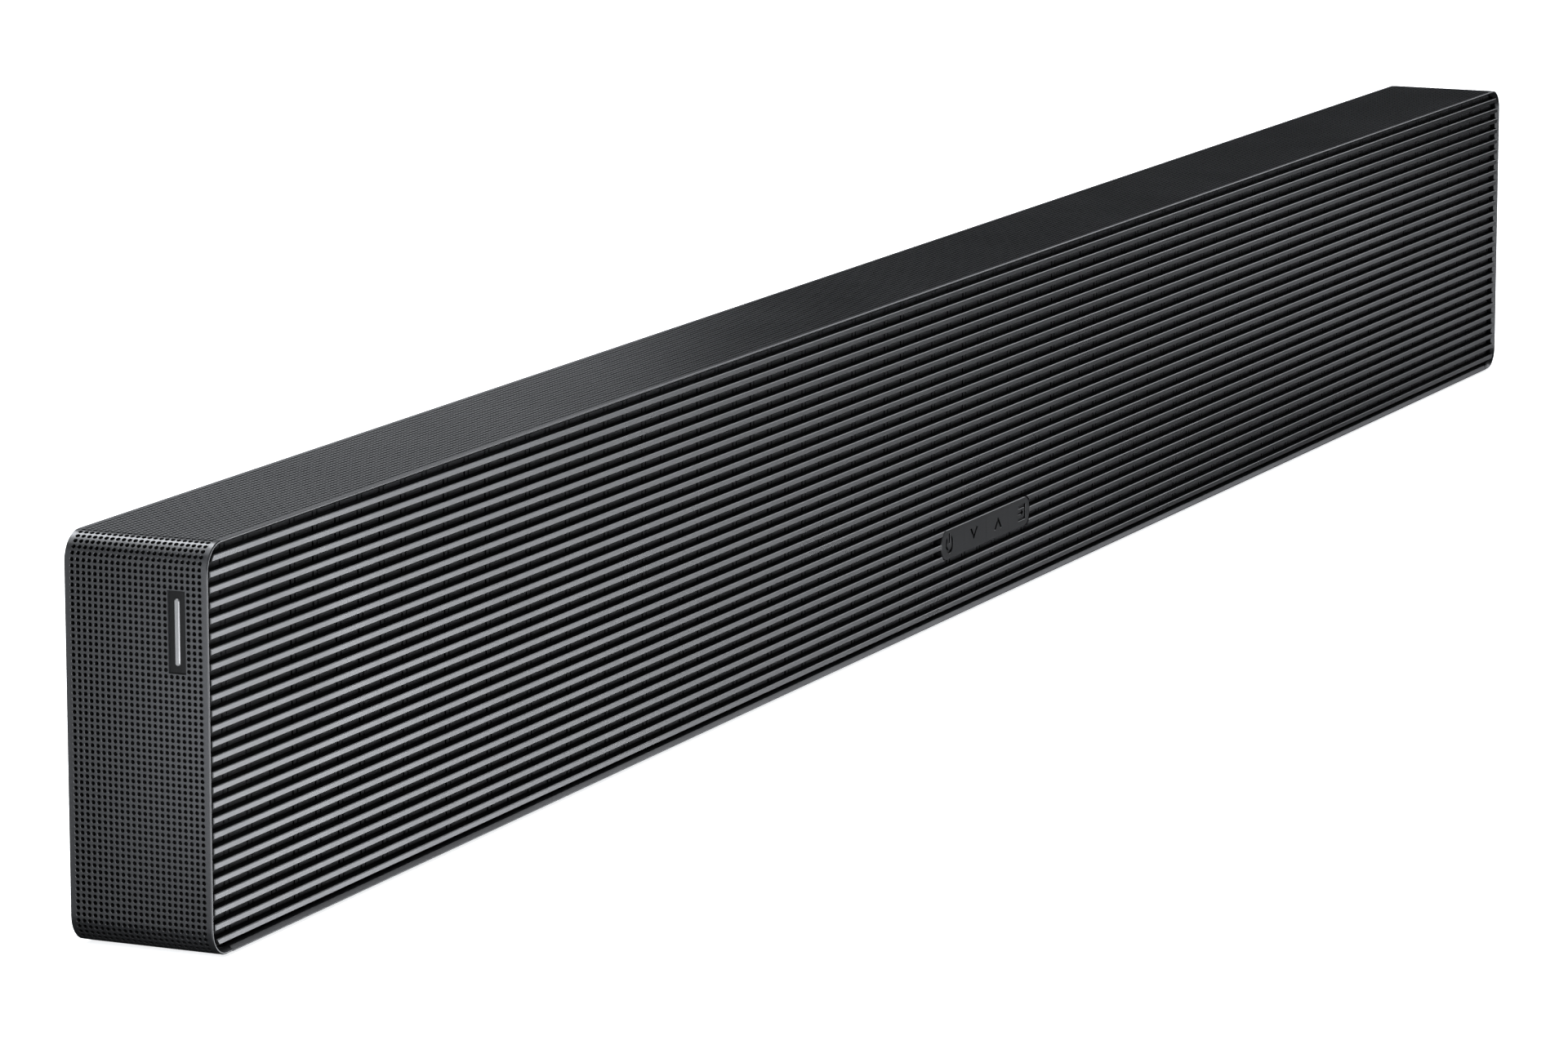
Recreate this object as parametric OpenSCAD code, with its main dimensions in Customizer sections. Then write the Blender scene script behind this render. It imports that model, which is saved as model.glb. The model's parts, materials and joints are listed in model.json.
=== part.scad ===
// Soundbar: a wide, shallow loudspeaker cabinet. A perforated sheet wraps the top, the ends and the
// lower corners, horizontal slats cover the front, and four keys share one pill-shaped window in them.
// +X runs along the bar, -Y is the front, +Z is up.
// The origin is under the middle, on the surface that the bar stands on.

/* [Cabinet] */
// Overall width, end to end
bar_w = 1240; // [1100:10:1400]
// Overall height of the wrapped sheet, without the feet
bar_h = 130; // [124:1:150]
// Overall depth, front to back
bar_d = 50; // [50:1:60]
// Outer radius of the four bends
corner_r = 9; // [7:0.5:12]
// Thickness of the wrapped sheet and of the bottom cover
sheet_t = 1.6; // [1.2:0.1:2]
// How far the sheet comes back under the cabinet from each end
return_w = 12.8; // [11:0.1:20]
// Height of the rubber feet
foot_h = 1; // [0.8:0.1:2]

/* [Grille] */
// Number of slats
slat_count = 26; // [20:1:30]
// Height of one slat's face
slat_h = 2; // [1.6:0.1:2.4]
// Front-to-back depth of a slat
slat_depth = 3.4; // [3:0.1:4.5]
// How far the slats stand back from the sheet's front edge
slat_recess = 0.1; // [0.1:0.1:1]
// From the cabinet's top to the middle of the first slat
slat_margin = 4.85; // [4:0.05:6]
// Gap between the sheet's outer face and the ends of the slats
slat_end_gap = 2.3; // [2.2:0.1:4]
// Bevel along a slat's front edges
slat_bevel = 0.35; // [0.2:0.05:0.5]
// Spacing of the upright ribs behind the slats
rib_pitch = 15.1; // [14:0.1:18]
// Width of one upright rib
rib_w = 2.2; // [1.6:0.1:3]
// Shadow groove on each side of a rib
rib_groove = 0.8; // [0.3:0.1:0.8]

/* [Keys] */
// Width of the four keys together
keys_w = 88.6; // [80:0.2:100]
// Radius of the pill's corners
keys_r = 5.2; // [3:0.1:5.6]
// Which slat the keys are centred on, counted from the top
keys_slat = 21; // [18:1:22]
// Gap between neighbouring keys
key_gap = 0.15; // [0.15:0.05:0.4]
// How far a key travels when pressed
key_travel = 0.5; // [0.3:0.1:0.6]

/* [Drivers] */
// Distance of the outer woofers from the middle
outer_woofer_x = 540; // [480:5:550]
// Distance of the inner woofers from the middle
inner_woofer_x = 330; // [320:5:350]
// Distance of the tweeters from the middle
tweeter_x = 435; // [420:1:450]
// Radius of a woofer's mounting flange
woofer_flange_r = 48; // [47:0.5:50]
// Travel of a woofer's cone each way
cone_travel = 2.2; // [1:0.1:2.2]

/* [Rear] */
// Width of the connector bay
bay_w = 180; // [170:2:200]
// Depth of the connector bay, from the rear face
bay_depth = 17; // [16:0.5:17]
// Distance between the wall-bracket holes along the bar
bracket_dx = 960; // [900:10:960]
// Distance between the wall-bracket holes up the cabinet
bracket_dz = 60; // [50:1:64]
// Radius of the wall-bracket holes
bracket_r = 2; // [1.5:0.1:2.5]

/* [Hidden] */
SIDES = ["left", "right"];
KEYS = ["power", "volume_down", "volume_up", "source"];
WOOFERS = ["left_outer", "left_inner", "right_inner", "right_outer"];

$fn = 48;
eps = 0.01;

// Cabinet faces and levels
front_y = -bar_d / 2;
rear_y = bar_d / 2;
base_z = foot_h;
top_z = base_z + bar_h;
mid_z = base_z + bar_h / 2;
arc_steps = 14;
seam_gap = 0.2;
seam_x = bar_w / 2 - return_w;
lip_t = 0.4;

// Liner between the sheet and the inner parts
liner_gap = 0.15;
liner_t = 0.4;
flap_y = front_y + sheet_t;
inner_inset = sheet_t + 2 * liner_gap + liner_t;

// Rear cover
cover_inset = sheet_t + 0.2;
cover_t = 2;
cover_back_y = rear_y - 0.4;
cover_front_y = cover_back_y - cover_t;

// Grille stack, front to back
slat_y = front_y + slat_recess;
frame_y = slat_y + slat_depth;
frame_t = 2;
mesh_y = frame_y + frame_t;
mesh_t = 0.8;
mesh_clear = 0.3;
pad_front_y = frame_y + 0.05;
groove_depth = 0.3;
baffle_y = front_y + 14;
baffle_t = 3;
baffle_back_y = baffle_y + baffle_t;
frame_wall = 1.4;
slat_pitch = (bar_h - 2 * slat_margin) / (slat_count - 1);
rib_half_count = floor((bar_w / 2 - inner_inset - frame_wall - 4) / rib_pitch);
window_w = rib_pitch - rib_w;
window_h = bar_h - 2 * inner_inset - 2 * frame_wall;

// Keys
keys_z = top_z - slat_margin - (keys_slat - 1) * slat_pitch;
keys_h = 2 * slat_pitch + slat_h;
keys_front_y = front_y + 0.2;
keys_clear = 0.3;
key_pitch = keys_w / 4;
holder_w = keys_w + 8;
holder_h = keys_h + 6;
holder_wall = 1.4;
holder_front_t = 0.8;
flange_y = frame_y + holder_front_t + 0.2;
flange_t = 1;
flange_lip = 0.9;
plunger_y = flange_y + flange_t + 0.5;
switch_y = plunger_y + 0.9;
board_y = switch_y + 3.4;
key_board_t = 1.2;
plunger_r = 1.5;
plunger_out = 0.9;
stem_r = 1.2;
switch_w = 6;
key_post_x = 40;
icon_depth = 0.3;
icon_h = 7.4;
icon_line = 1.5;
icon_pitch = 24.3;

// Drivers, measured from the baffle's front face
cone_r = 34.5;
roll_clear = 0.3;
roll_r = 2.2;
roll_t = 0.5;
flange_inner_r = 39;
woofer_screw_r = 45;
woofer_hole_r = 42.2;
former_r = 10.4;
former_t = 0.45;
magnet_r = 22;
magnet_back = 22;
gap_floor = 3;
basket_back = 12.2;
tweeter_flange_r = 26;
tweeter_body_r = 17.5;
tweeter_screw_r = 22;
tweeter_back = 14;
dome_r = 12.7;
flange_h = 2;
screw_r = 1.45;
screw_hole_r = 1.5;
screw_clear_r = 1.7;
screw_head_r = 2.7;
head_clear = 0.1;
pan_h = 1.2;
rear_sink = 1.2;
bottom_sink = 0.9;

// Enclosures and their fixings
box_wall = 2.4;
box_inner_x = 250;
box_outer_x = bar_w / 2 - 8;
box_low_z = base_z + 7;
box_high_z = top_z - 7;
box_back_y = rear_y - 9;
rear_screw_x = [box_inner_x + 14, box_outer_x - 14];
rear_screw_z = [box_low_z + 12, box_high_z - 12];
bottom_screw_x = [box_inner_x + 30, (box_inner_x + box_outer_x) / 2, box_outer_x - 32];
bottom_screw_y = 4;
boss_r = 4;

// Rear bay and electronics
bay_wall = 2;
bay_low_z = base_z + 13;
bay_high_z = base_z + 61;
bay_front_y = rear_y - bay_depth;
pcb_t = 1.6;
pcb_y = baffle_back_y + 16;
pcb_low_z = bay_high_z + 4;
pcb_high_z = top_z - 8;
main_x = [-100, 30];
power_x = [40, 232];
post_r = 3;
post_in = 6;
hdmi_x = [-62, -34];
optical_x = -6;
inlet_x = 66;
socket_low_z = bay_high_z + 0.2;
vent_count = 16;
vent_pitch = 5;

vent_x = bay_w / 2 + 30;
vent_w = 2;
vent_h = 60;

// Sockets behind the bay's ceiling
socket_y = pcb_y + pcb_t;
socket_clear = 0.2;
mouth_out = 1.5;
hdmi_w = 15.8;
hdmi_t = 6.4;
optical_w = 11.8;
optical_t = 10.8;
inlet_w = 22;
inlet_t = 12;
inlet_depth = 16;
inlet_y = socket_y + inlet_t / 2;
pin_dx = 4.1;
pin_r = 1.18;
cup_r = 4.3;

// Small parts on the main board
chip_x = -70;
chip_pitch = 22;
chip_w = 14;
chip_t = 2.2;

// Badge on the left end
badge_w = 6.08;
badge_h = 26;
badge_r = 0.3;
badge_y = front_y + 10.81;
badge_z = base_z + 102;
badge_face = 0.7;
badge_clear = 0.1;
badge_bar_w = 1.8;
badge_bar_h = 21;

// Wall-bracket inserts, feet and screw places
insert_r = 3.5;
bracket_boss_r = 5.5;
foot_x = [120, 440];
foot_w = 40;
foot_d = 36;
foot_r = 6;
BRACKET_POINTS = [for (sx = [-1, 1], sz = [-1, 1]) [sx * bracket_dx / 2, mid_z + sz * bracket_dz / 2]];
REAR_SCREWS = [for (side = [-1, 1], x = rear_screw_x, z = rear_screw_z) [side * x, z]];

// Leads from the main board to the enclosures
lead_r = 1.1;
lead_sides = 8;
lead_y = baffle_back_y + 4;
lead_pitch = 2.8;
lead_z = pcb_high_z - 12;

// Outline of a rounded rectangle, corner by corner
function rounded_rect(w, h, r) = [
    for (q = [0:3], i = [0:arc_steps])
    let (a = 90 * (q + i / arc_steps), sx = (q == 0 || q == 3) ? 1 : -1, sz = q < 2 ? 1 : -1)
    [sx * (w / 2 - r) + r * cos(a), sz * (h / 2 - r) + r * sin(a)]
];

// The cabinet's outline moved inwards
function cabinet_outline(inset) = rounded_rect(bar_w - 2 * inset, bar_h - 2 * inset, corner_r - inset);

// Half arc of a rolled edge, from one radius to the other over the top
function half_arc(cx, cy, r, a0, a1, n) = [for (i = [0:n]) let (a = a0 + (a1 - a0) * i / n)
    [cx + r * cos(a), cy + r * sin(a)]];

// Raises a flat XZ outline between two depths
module between_y(y0, y1) {
    translate([0, y1, 0]) rotate([90, 0, 0]) linear_extrude(y1 - y0) children();
}

// A box given by its two corners
module block(low, high) {
    translate(low) cube(high - low);
}

// A cylinder along Y between two depths
module rod_y(x, z, r, y0, y1) {
    translate([x, y1, z]) rotate([90, 0, 0]) cylinder(h = y1 - y0, r = r);
}

// Places a driver's revolved part on the baffle, its axis pointing forwards
module on_baffle(x) {
    translate([x, baffle_y, mid_z]) rotate([90, 0, 0]) children();
}

// Section of the wrapped sheet, open along the bottom between its two returns
module sheet_section(inset, t) {
    difference() {
        polygon(cabinet_outline(inset));
        polygon(cabinet_outline(inset + t));
        translate([-seam_x, -bar_h / 2 - 1]) square([2 * seam_x, corner_r + 1]);
    }
}

// Window in the left end for the badge plate, or the plate itself when clear is above 0
module badge_cut(x0, x1, clear) {
    translate([x0, badge_y, badge_z]) rotate([90, 0, 90]) linear_extrude(x1 - x0)
        polygon(rounded_rect(badge_w - 2 * clear, badge_h - 2 * clear, badge_r - clear));
}

module perforated_shell() color("#4b4c4f") {
    difference() {
        translate([0, 0, mid_z]) between_y(front_y, rear_y) sheet_section(0, sheet_t);
        badge_cut(-bar_w / 2 - 1, -bar_w / 2 + sheet_t + 1, 0);
    }
}

// Liner with a flap at each end that reaches forward past the ends of the slats
module shell_liner() color("#111111") {
    translate([0, 0, mid_z]) {
        between_y(frame_y, cover_front_y - 0.2) sheet_section(sheet_t + liner_gap, liner_t);
        for (side = [-1, 1]) between_y(flap_y, frame_y + eps) intersection() {
            sheet_section(sheet_t + liner_gap, liner_t);
            translate([side * bar_w / 2, 0]) square([2 * corner_r, bar_h], center = true);
        }
    }
}

// Badge: a plate let into the left end, with a plain raised bar
module badge() color("#1b1b1c") {
    badge_cut(-bar_w / 2 + badge_face, -bar_w / 2 + sheet_t, badge_clear);
    block([-bar_w / 2 + badge_clear, badge_y - badge_bar_w / 2, badge_z - badge_bar_h / 2],
          [-bar_w / 2 + badge_face, badge_y + badge_bar_w / 2, badge_z + badge_bar_h / 2]);
}

// Bottom cover, with a bevelled lip along the front
module bottom_cover() color("#343537") {
    difference() {
        translate([-seam_x + seam_gap, 0, 0]) rotate([90, 0, 90]) linear_extrude(2 * (seam_x - seam_gap))
            polygon([[front_y, base_z], [rear_y, base_z], [rear_y, base_z + sheet_t],
                     [front_y + sheet_t - lip_t, base_z + sheet_t], [front_y, base_z + lip_t]]);
        for (side = [-1, 1], x = bottom_screw_x)
            translate([side * x, bottom_screw_y, base_z - 1]) {
                cylinder(h = sheet_t + 2, r = screw_clear_r);
                cylinder(h = 1 + bottom_sink, r = screw_head_r + head_clear);
            }
    }
}

// Rear cover with the connector bay sunk into it
module bay_box(grow, y0, y1) {
    block([-bay_w / 2 - grow, y0, bay_low_z - grow], [bay_w / 2 + grow, y1, bay_high_z + grow]);
}

// Cut-out in the bay's ceiling for a socket of that width and thickness
module bay_slot(x, w, t) {
    half = w / 2 + socket_clear;
    translate([x - half, socket_y, bay_high_z - 1]) cube([2 * half, t + socket_clear, bay_wall + 2]);
}

module rear_cover() color("#202123") {
    difference() {
        union() {
            translate([0, 0, mid_z]) between_y(cover_front_y, cover_back_y)
                polygon(cabinet_outline(cover_inset));
            bay_box(bay_wall, bay_front_y - bay_wall, cover_front_y + eps);
            for (p = BRACKET_POINTS) rod_y(p[0], p[1], bracket_boss_r, box_back_y + 0.3, cover_front_y + eps);
        }
        bay_box(0, bay_front_y, rear_y + 1);
        for (x = hdmi_x) bay_slot(x, hdmi_w, hdmi_t);
        bay_slot(optical_x, optical_w, optical_t);
        bay_slot(inlet_x, inlet_w, inlet_t);
        for (p = BRACKET_POINTS) rod_y(p[0], p[1], insert_r, box_back_y, rear_y);
        for (p = REAR_SCREWS) {
            rod_y(p[0], p[1], screw_clear_r, cover_front_y - 1, rear_y);
            rod_y(p[0], p[1], screw_head_r + head_clear, cover_back_y - rear_sink, rear_y);
        }
        for (side = [-1, 1], i = [0:vent_count - 1])
            translate([side * (vent_x + i * vent_pitch) - vent_w / 2, cover_front_y - 1, mid_z - vent_h / 2])
                cube([vent_w, cover_t + 2, vent_h]);
        block([-bar_w / 2, cover_front_y - 1, base_z - 1], [bar_w / 2, rear_y, base_z + sheet_t + seam_gap]);
    }
}

// Pill outline around the keys, in the XZ plane
module pill(grow) {
    polygon(rounded_rect(keys_w + 2 * grow, keys_h + 2 * grow, keys_r + grow));
}

// Slats, bevelled along the front and trimmed to the cabinet's corners
module slat(z) {
    half = bar_w / 2 - slat_end_gap;
    translate([-half, 0, z]) rotate([90, 0, 90]) linear_extrude(2 * half)
        polygon([[slat_y, -slat_h / 2 + slat_bevel], [slat_y + slat_bevel, -slat_h / 2], [frame_y, -slat_h / 2],
                 [frame_y, slat_h / 2], [slat_y + slat_bevel, slat_h / 2], [slat_y, slat_h / 2 - slat_bevel]]);
}

module trimmed_slat(i) {
    z = top_z - slat_margin - i * slat_pitch;
    if (i == 0 || i == slat_count - 1) {
        intersection() {
            slat(z);
            translate([0, 0, mid_z]) between_y(slat_y - 1, frame_y + 1) polygon(cabinet_outline(slat_end_gap));
        }
    } else if (abs(i + 1 - keys_slat) < 2) {
        difference() {
            slat(z);
            translate([0, 0, keys_z]) between_y(slat_y - 1, frame_y + 1) pill(keys_clear);
        }
    } else {
        slat(z);
    }
}

module grille_slats() color("#77787b") {
    for (i = [0:slat_count - 1]) trimmed_slat(i);
}

// Frame behind the slats: a wall all round, and upright ribs between its windows
module key_opening(clear) {
    block([-holder_w / 2 - clear, frame_y - 1, keys_z - holder_h / 2 - clear],
          [holder_w / 2 + clear, baffle_y + 1, keys_z + holder_h / 2 + clear]);
}

module frame_windows() {
    end_x = bar_w / 2 - inner_inset - frame_wall;
    last_rib = rib_half_count * rib_pitch;
    for (i = [-rib_half_count:rib_half_count - 1])
        translate([i * rib_pitch + rib_w / 2, -window_h / 2]) square([window_w, window_h]);
    intersection() {
        for (side = [-1, 1])
            translate([side > 0 ? last_rib + rib_w / 2 : -end_x, -window_h / 2])
                square([end_x - last_rib - rib_w / 2, window_h]);
        polygon(cabinet_outline(inner_inset + frame_wall));
    }
}

module grille_frame() color("#26282a") {
    difference() {
        union() {
            translate([0, 0, mid_z]) between_y(frame_y, mesh_y) difference() {
                polygon(cabinet_outline(inner_inset));
                frame_windows();
            }
            translate([0, 0, mid_z]) between_y(mesh_y - eps, baffle_y) difference() {
                polygon(cabinet_outline(inner_inset));
                polygon(cabinet_outline(inner_inset + frame_wall));
            }
        }
        key_opening(0.2);
    }
}

// Acoustic mesh: a moulded sheet whose pads stand up through the frame's windows
module pad_strip(x0, x1) {
    translate([x0 + rib_groove, pad_front_y]) square([x1 - x0 - 2 * rib_groove, mesh_y - pad_front_y + eps]);
}

module acoustic_mesh() color("#2e3033") {
    end_x = bar_w / 2 - inner_inset - frame_wall;
    last_rib = rib_half_count * rib_pitch;
    difference() {
        intersection() {
            translate([0, 0, mid_z - window_h / 2]) linear_extrude(window_h) {
                translate([-end_x, mesh_y]) square([2 * end_x, mesh_t]);
                for (i = [-rib_half_count:rib_half_count - 1])
                    pad_strip(i * rib_pitch + rib_w / 2, (i + 1) * rib_pitch - rib_w / 2);
                pad_strip(last_rib + rib_w / 2, end_x);
                pad_strip(-end_x, -last_rib - rib_w / 2);
            }
            translate([0, 0, mid_z]) between_y(frame_y, mesh_y + mesh_t + eps)
                polygon(cabinet_outline(inner_inset + frame_wall + mesh_clear));
        }
        key_opening(0.4);
    }
}

// Keys: four caps cut from one pill, each with a lip that a holder keeps in
function key_x(i) = (i - 1.5) * key_pitch;

// Grooves that carry the rib pattern on across the holder's face
module key_holder_grooves() {
    reach = floor(holder_w / 2 / rib_pitch) + 1;
    edge = (rib_w + rib_groove) / 2;
    for (i = [-reach:reach], side = [-1, 1])
        translate([i * rib_pitch + side * edge - rib_groove / 2, frame_y - 1, keys_z - holder_h])
            cube([rib_groove, 1 + groove_depth, 2 * holder_h]);
}

module key_frame() color("#2b2d2f") {
    difference() {
        block([-holder_w / 2, frame_y, keys_z - holder_h / 2], [holder_w / 2, board_y, keys_z + holder_h / 2]);
        translate([0, 0, keys_z]) between_y(frame_y - 1, frame_y + 3) pill(keys_clear);
        block([-holder_w / 2 + holder_wall, frame_y + holder_front_t, keys_z - holder_h / 2 + holder_wall],
              [holder_w / 2 - holder_wall, board_y + 1, keys_z + holder_h / 2 - holder_wall]);
        key_holder_grooves();
    }
}

// Plain signs sunk into the keys: an open ring with a stroke, chevrons, and an arrow into a frame
module power_sign(w) {
    ring_r = icon_h / 2;
    gap = 1.15 * w;
    difference() {
        circle(r = ring_r);
        circle(r = ring_r - w);
        translate([-gap, 0]) square([2 * gap, icon_h]);
    }
    translate([-w / 2, 0.2]) square([w, ring_r + 0.4]);
}

module chevron_sign(w) {
    half = 0.53 * icon_h;
    rise = 0.65 * icon_h;
    drop = 1.35 * w;
    foot = drop * half / rise;
    translate([0, -rise / 2])
        polygon([[-half, 0], [foot - half, 0], [0, rise - drop], [half - foot, 0], [half, 0], [0, rise]]);
}

module source_sign(w) {
    half_w = 0.52 * icon_h;
    half_h = 0.43 * icon_h;
    hook = 0.55 * half_h;
    shaft = 0.8 * w;
    tip = w;
    difference() {
        square([2 * half_w, 2 * half_h], center = true);
        square([2 * (half_w - w), 2 * (half_h - w)], center = true);
        translate([-half_w - w, -hook]) square([2.5 * w, 2 * hook]);
    }
    translate([-half_w - 0.2, -shaft / 2]) square([half_w + 0.2, shaft]);
    polygon([[tip, 0], [-0.5 * w, w], [-0.5 * w, -w]]);
}

module icon_strokes(i) {
    if (i == 0) power_sign(icon_line);
    if (i == 1) mirror([0, 1]) chevron_sign(icon_line);
    if (i == 2) chevron_sign(icon_line);
    if (i == 3) source_sign(icon_line);
}

module key_cap(i) color("#3c3d40") {
    x = key_x(i);
    w = key_pitch - key_gap;
    difference() {
        intersection() {
            translate([0, 0, keys_z]) between_y(keys_front_y, flange_y + eps) pill(0);
            block([x - w / 2, front_y, keys_z - keys_h], [x + w / 2, baffle_y, keys_z + keys_h]);
        }
        translate([(i - 1.5) * icon_pitch, 0, keys_z])
            between_y(keys_front_y - 1, keys_front_y + icon_depth) icon_strokes(i);
    }
    left_lip = i == 0 ? flange_lip : 0;
    right_lip = i == 3 ? flange_lip : 0;
    block([x - w / 2 - left_lip, flange_y, keys_z - keys_h / 2 - flange_lip],
          [x + w / 2 + right_lip, flange_y + flange_t, keys_z + keys_h / 2 + flange_lip]);
    rod_y(x, keys_z, stem_r, flange_y + flange_t - eps, plunger_y);
}

module power_key() key_cap(0);
module volume_down_key() key_cap(1);
module volume_up_key() key_cap(2);
module source_key() key_cap(3);

// Switches: a plunger in a square housing, four on one board
module plunger(i) color("#b9b7b0") rod_y(key_x(i), keys_z, plunger_r, plunger_y, switch_y + plunger_out);

module power_plunger() plunger(0);
module volume_down_plunger() plunger(1);
module volume_up_plunger() plunger(2);
module source_plunger() plunger(3);

module tact_switches() color("#191919") {
    for (i = [0:3]) difference() {
        block([key_x(i) - switch_w / 2, switch_y, keys_z - switch_w / 2],
              [key_x(i) + switch_w / 2, board_y, keys_z + switch_w / 2]);
        rod_y(key_x(i), keys_z, plunger_r + 0.2, switch_y - 1, switch_y + plunger_out + key_travel + 0.4);
    }
}

module key_board() color("#1f5a37") {
    block([-holder_w / 2, board_y, keys_z - holder_h / 2],
          [holder_w / 2, board_y + key_board_t, keys_z + holder_h / 2]);
}

// Baffle: carries the drivers in front, the enclosures and the circuit boards behind
function board_posts(span) = [
    for (x = [span[0] + post_in, span[1] - post_in], z = [pcb_low_z + post_in, pcb_high_z - post_in]) [x, z]
];
ALL_POSTS = concat(board_posts(main_x), board_posts(power_x));
WOOFER_X = [-outer_woofer_x, -inner_woofer_x, inner_woofer_x, outer_woofer_x];
TWEETER_X = [-tweeter_x, tweeter_x];

module front_baffle() color("#17181a") {
    difference() {
        union() {
            translate([0, 0, mid_z]) between_y(baffle_y, baffle_back_y) polygon(cabinet_outline(inner_inset));
            for (p = ALL_POSTS) rod_y(p[0], p[1], post_r, baffle_back_y - eps, pcb_y);
            for (side = [-1, 1])
                rod_y(side * key_post_x, keys_z, post_r, board_y + key_board_t, baffle_y + eps);
        }
        for (x = WOOFER_X) rod_y(x, mid_z, woofer_hole_r, baffle_y - 1, baffle_back_y + 1);
        for (x = WOOFER_X, a = [45:90:315])
            rod_y(x + woofer_screw_r * cos(a), mid_z + woofer_screw_r * sin(a), screw_hole_r,
                  baffle_y - 1, baffle_back_y + 1);
        for (x = TWEETER_X) rod_y(x, mid_z, tweeter_body_r + 0.5, baffle_y - 1, baffle_back_y + 1);
        for (x = TWEETER_X, side = [-1, 1])
            rod_y(x, mid_z + side * tweeter_screw_r, screw_hole_r, baffle_y - 1, baffle_back_y + 1);
        for (p = ALL_POSTS) rod_y(p[0], p[1], screw_hole_r, pcb_y - 8, pcb_y + 1);
    }
}

// Sealed box behind two woofers and a tweeter
module enclosure(side) color("#1d1e20") {
    mirror([side < 0 ? 1 : 0, 0, 0]) difference() {
        union() {
            difference() {
                block([box_inner_x, baffle_back_y, box_low_z], [box_outer_x, box_back_y, box_high_z]);
                block([box_inner_x + box_wall, baffle_back_y - 1, box_low_z + box_wall],
                      [box_outer_x - box_wall, box_back_y - box_wall, box_high_z - box_wall]);
            }
            for (x = rear_screw_x, z = rear_screw_z) rod_y(x, z, boss_r, box_back_y - eps, cover_front_y);
            for (x = bottom_screw_x) translate([x, bottom_screw_y, base_z + sheet_t])
                cylinder(h = box_low_z - base_z - sheet_t + eps, r = boss_r);
        }
        for (x = rear_screw_x, z = rear_screw_z) rod_y(x, z, screw_hole_r, box_back_y - 1.4, cover_front_y + 1);
        for (x = bottom_screw_x) translate([x, bottom_screw_y, base_z])
            cylinder(h = box_low_z - base_z + 1.6, r = screw_hole_r);
    }
}

module left_enclosure() enclosure(-1);
module right_enclosure() enclosure(1);

// Woofer parts, each revolved about the driver's axis; height 0 is the baffle's front face
module woofer_basket(x) color("#2a2a2c") {
    frame_r = woofer_hole_r - 0.3;
    inner_r = woofer_hole_r - 1.8;
    throat_r = former_r + 0.9;
    on_baffle(x) difference() {
        rotate_extrude() polygon([
            [flange_inner_r, 0.8], [flange_inner_r, flange_h], [woofer_flange_r, flange_h],
            [woofer_flange_r, 0], [frame_r, 0], [frame_r, -1.5], [magnet_r - 0.5, -basket_back],
            [throat_r, -basket_back], [throat_r, 1.2 - basket_back], [magnet_r - 1.2, 1.2 - basket_back],
            [inner_r, -0.9], [inner_r, 0.8]]);
        for (a = [45:90:315]) rotate([0, 0, a]) translate([woofer_screw_r, 0, -1])
            cylinder(h = flange_h + 2, r = screw_clear_r);
    }
}

module woofer_magnet(x) color("#3a3a3d") {
    on_baffle(x) rotate_extrude() polygon([
        [0, -magnet_back], [magnet_r, -magnet_back], [magnet_r, -basket_back], [former_r + 0.5, -basket_back],
        [former_r + 0.5, gap_floor - magnet_back], [former_r - former_t - 0.25, gap_floor - magnet_back],
        [former_r - former_t - 0.25, -basket_back], [0, -basket_back]]);
}

module woofer_surround(x) color("#141414") {
    mid = cone_r + roll_clear + roll_r;
    rim_r = mid + roll_r + 3.1;
    on_baffle(x) rotate_extrude() polygon(concat(
        half_arc(mid, flange_h, roll_r, 180, 14, 12),
        [[rim_r, flange_h + roll_t], [rim_r, flange_h], [mid + roll_r - roll_t, flange_h]],
        half_arc(mid, flange_h, roll_r - roll_t, 0, 180, 12)));
}

// Pressed cone: slope, dished centre and voice-coil former in one piece
module woofer_cone(x) color("#232325") {
    t = 0.6;
    edge_h = 1.2;
    slope = 0.36;
    cap_r = 14;
    cap_rise = 3;
    former_back = gap_floor - magnet_back + cone_travel + 0.3;
    neck = edge_h - slope * (cone_r - former_r);
    cap_h = edge_h - slope * (cone_r - cap_r);
    inner_share = (former_r - former_t) / cap_r;
    on_baffle(x) rotate_extrude() polygon(concat(
        [[former_r - former_t, former_back], [former_r, former_back], [former_r, neck - t]],
        [[cone_r, edge_h - t], [cone_r, edge_h], [cap_r, cap_h]],
        [for (i = [1:8]) let (u = 1 - i / 8) [cap_r * u, cap_h + cap_rise * (1 - u * u)]],
        [for (i = [0:6]) let (u = i / 6 * inner_share) [cap_r * u, cap_h + cap_rise * (1 - u * u) - t]]));
}

module left_outer_basket() woofer_basket(WOOFER_X[0]);
module left_inner_basket() woofer_basket(WOOFER_X[1]);
module right_inner_basket() woofer_basket(WOOFER_X[2]);
module right_outer_basket() woofer_basket(WOOFER_X[3]);
module left_outer_magnet() woofer_magnet(WOOFER_X[0]);
module left_inner_magnet() woofer_magnet(WOOFER_X[1]);
module right_inner_magnet() woofer_magnet(WOOFER_X[2]);
module right_outer_magnet() woofer_magnet(WOOFER_X[3]);
module left_outer_surround() woofer_surround(WOOFER_X[0]);
module left_inner_surround() woofer_surround(WOOFER_X[1]);
module right_inner_surround() woofer_surround(WOOFER_X[2]);
module right_outer_surround() woofer_surround(WOOFER_X[3]);
module left_outer_cone() woofer_cone(WOOFER_X[0]);
module left_inner_cone() woofer_cone(WOOFER_X[1]);
module right_inner_cone() woofer_cone(WOOFER_X[2]);
module right_outer_cone() woofer_cone(WOOFER_X[3]);

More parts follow.
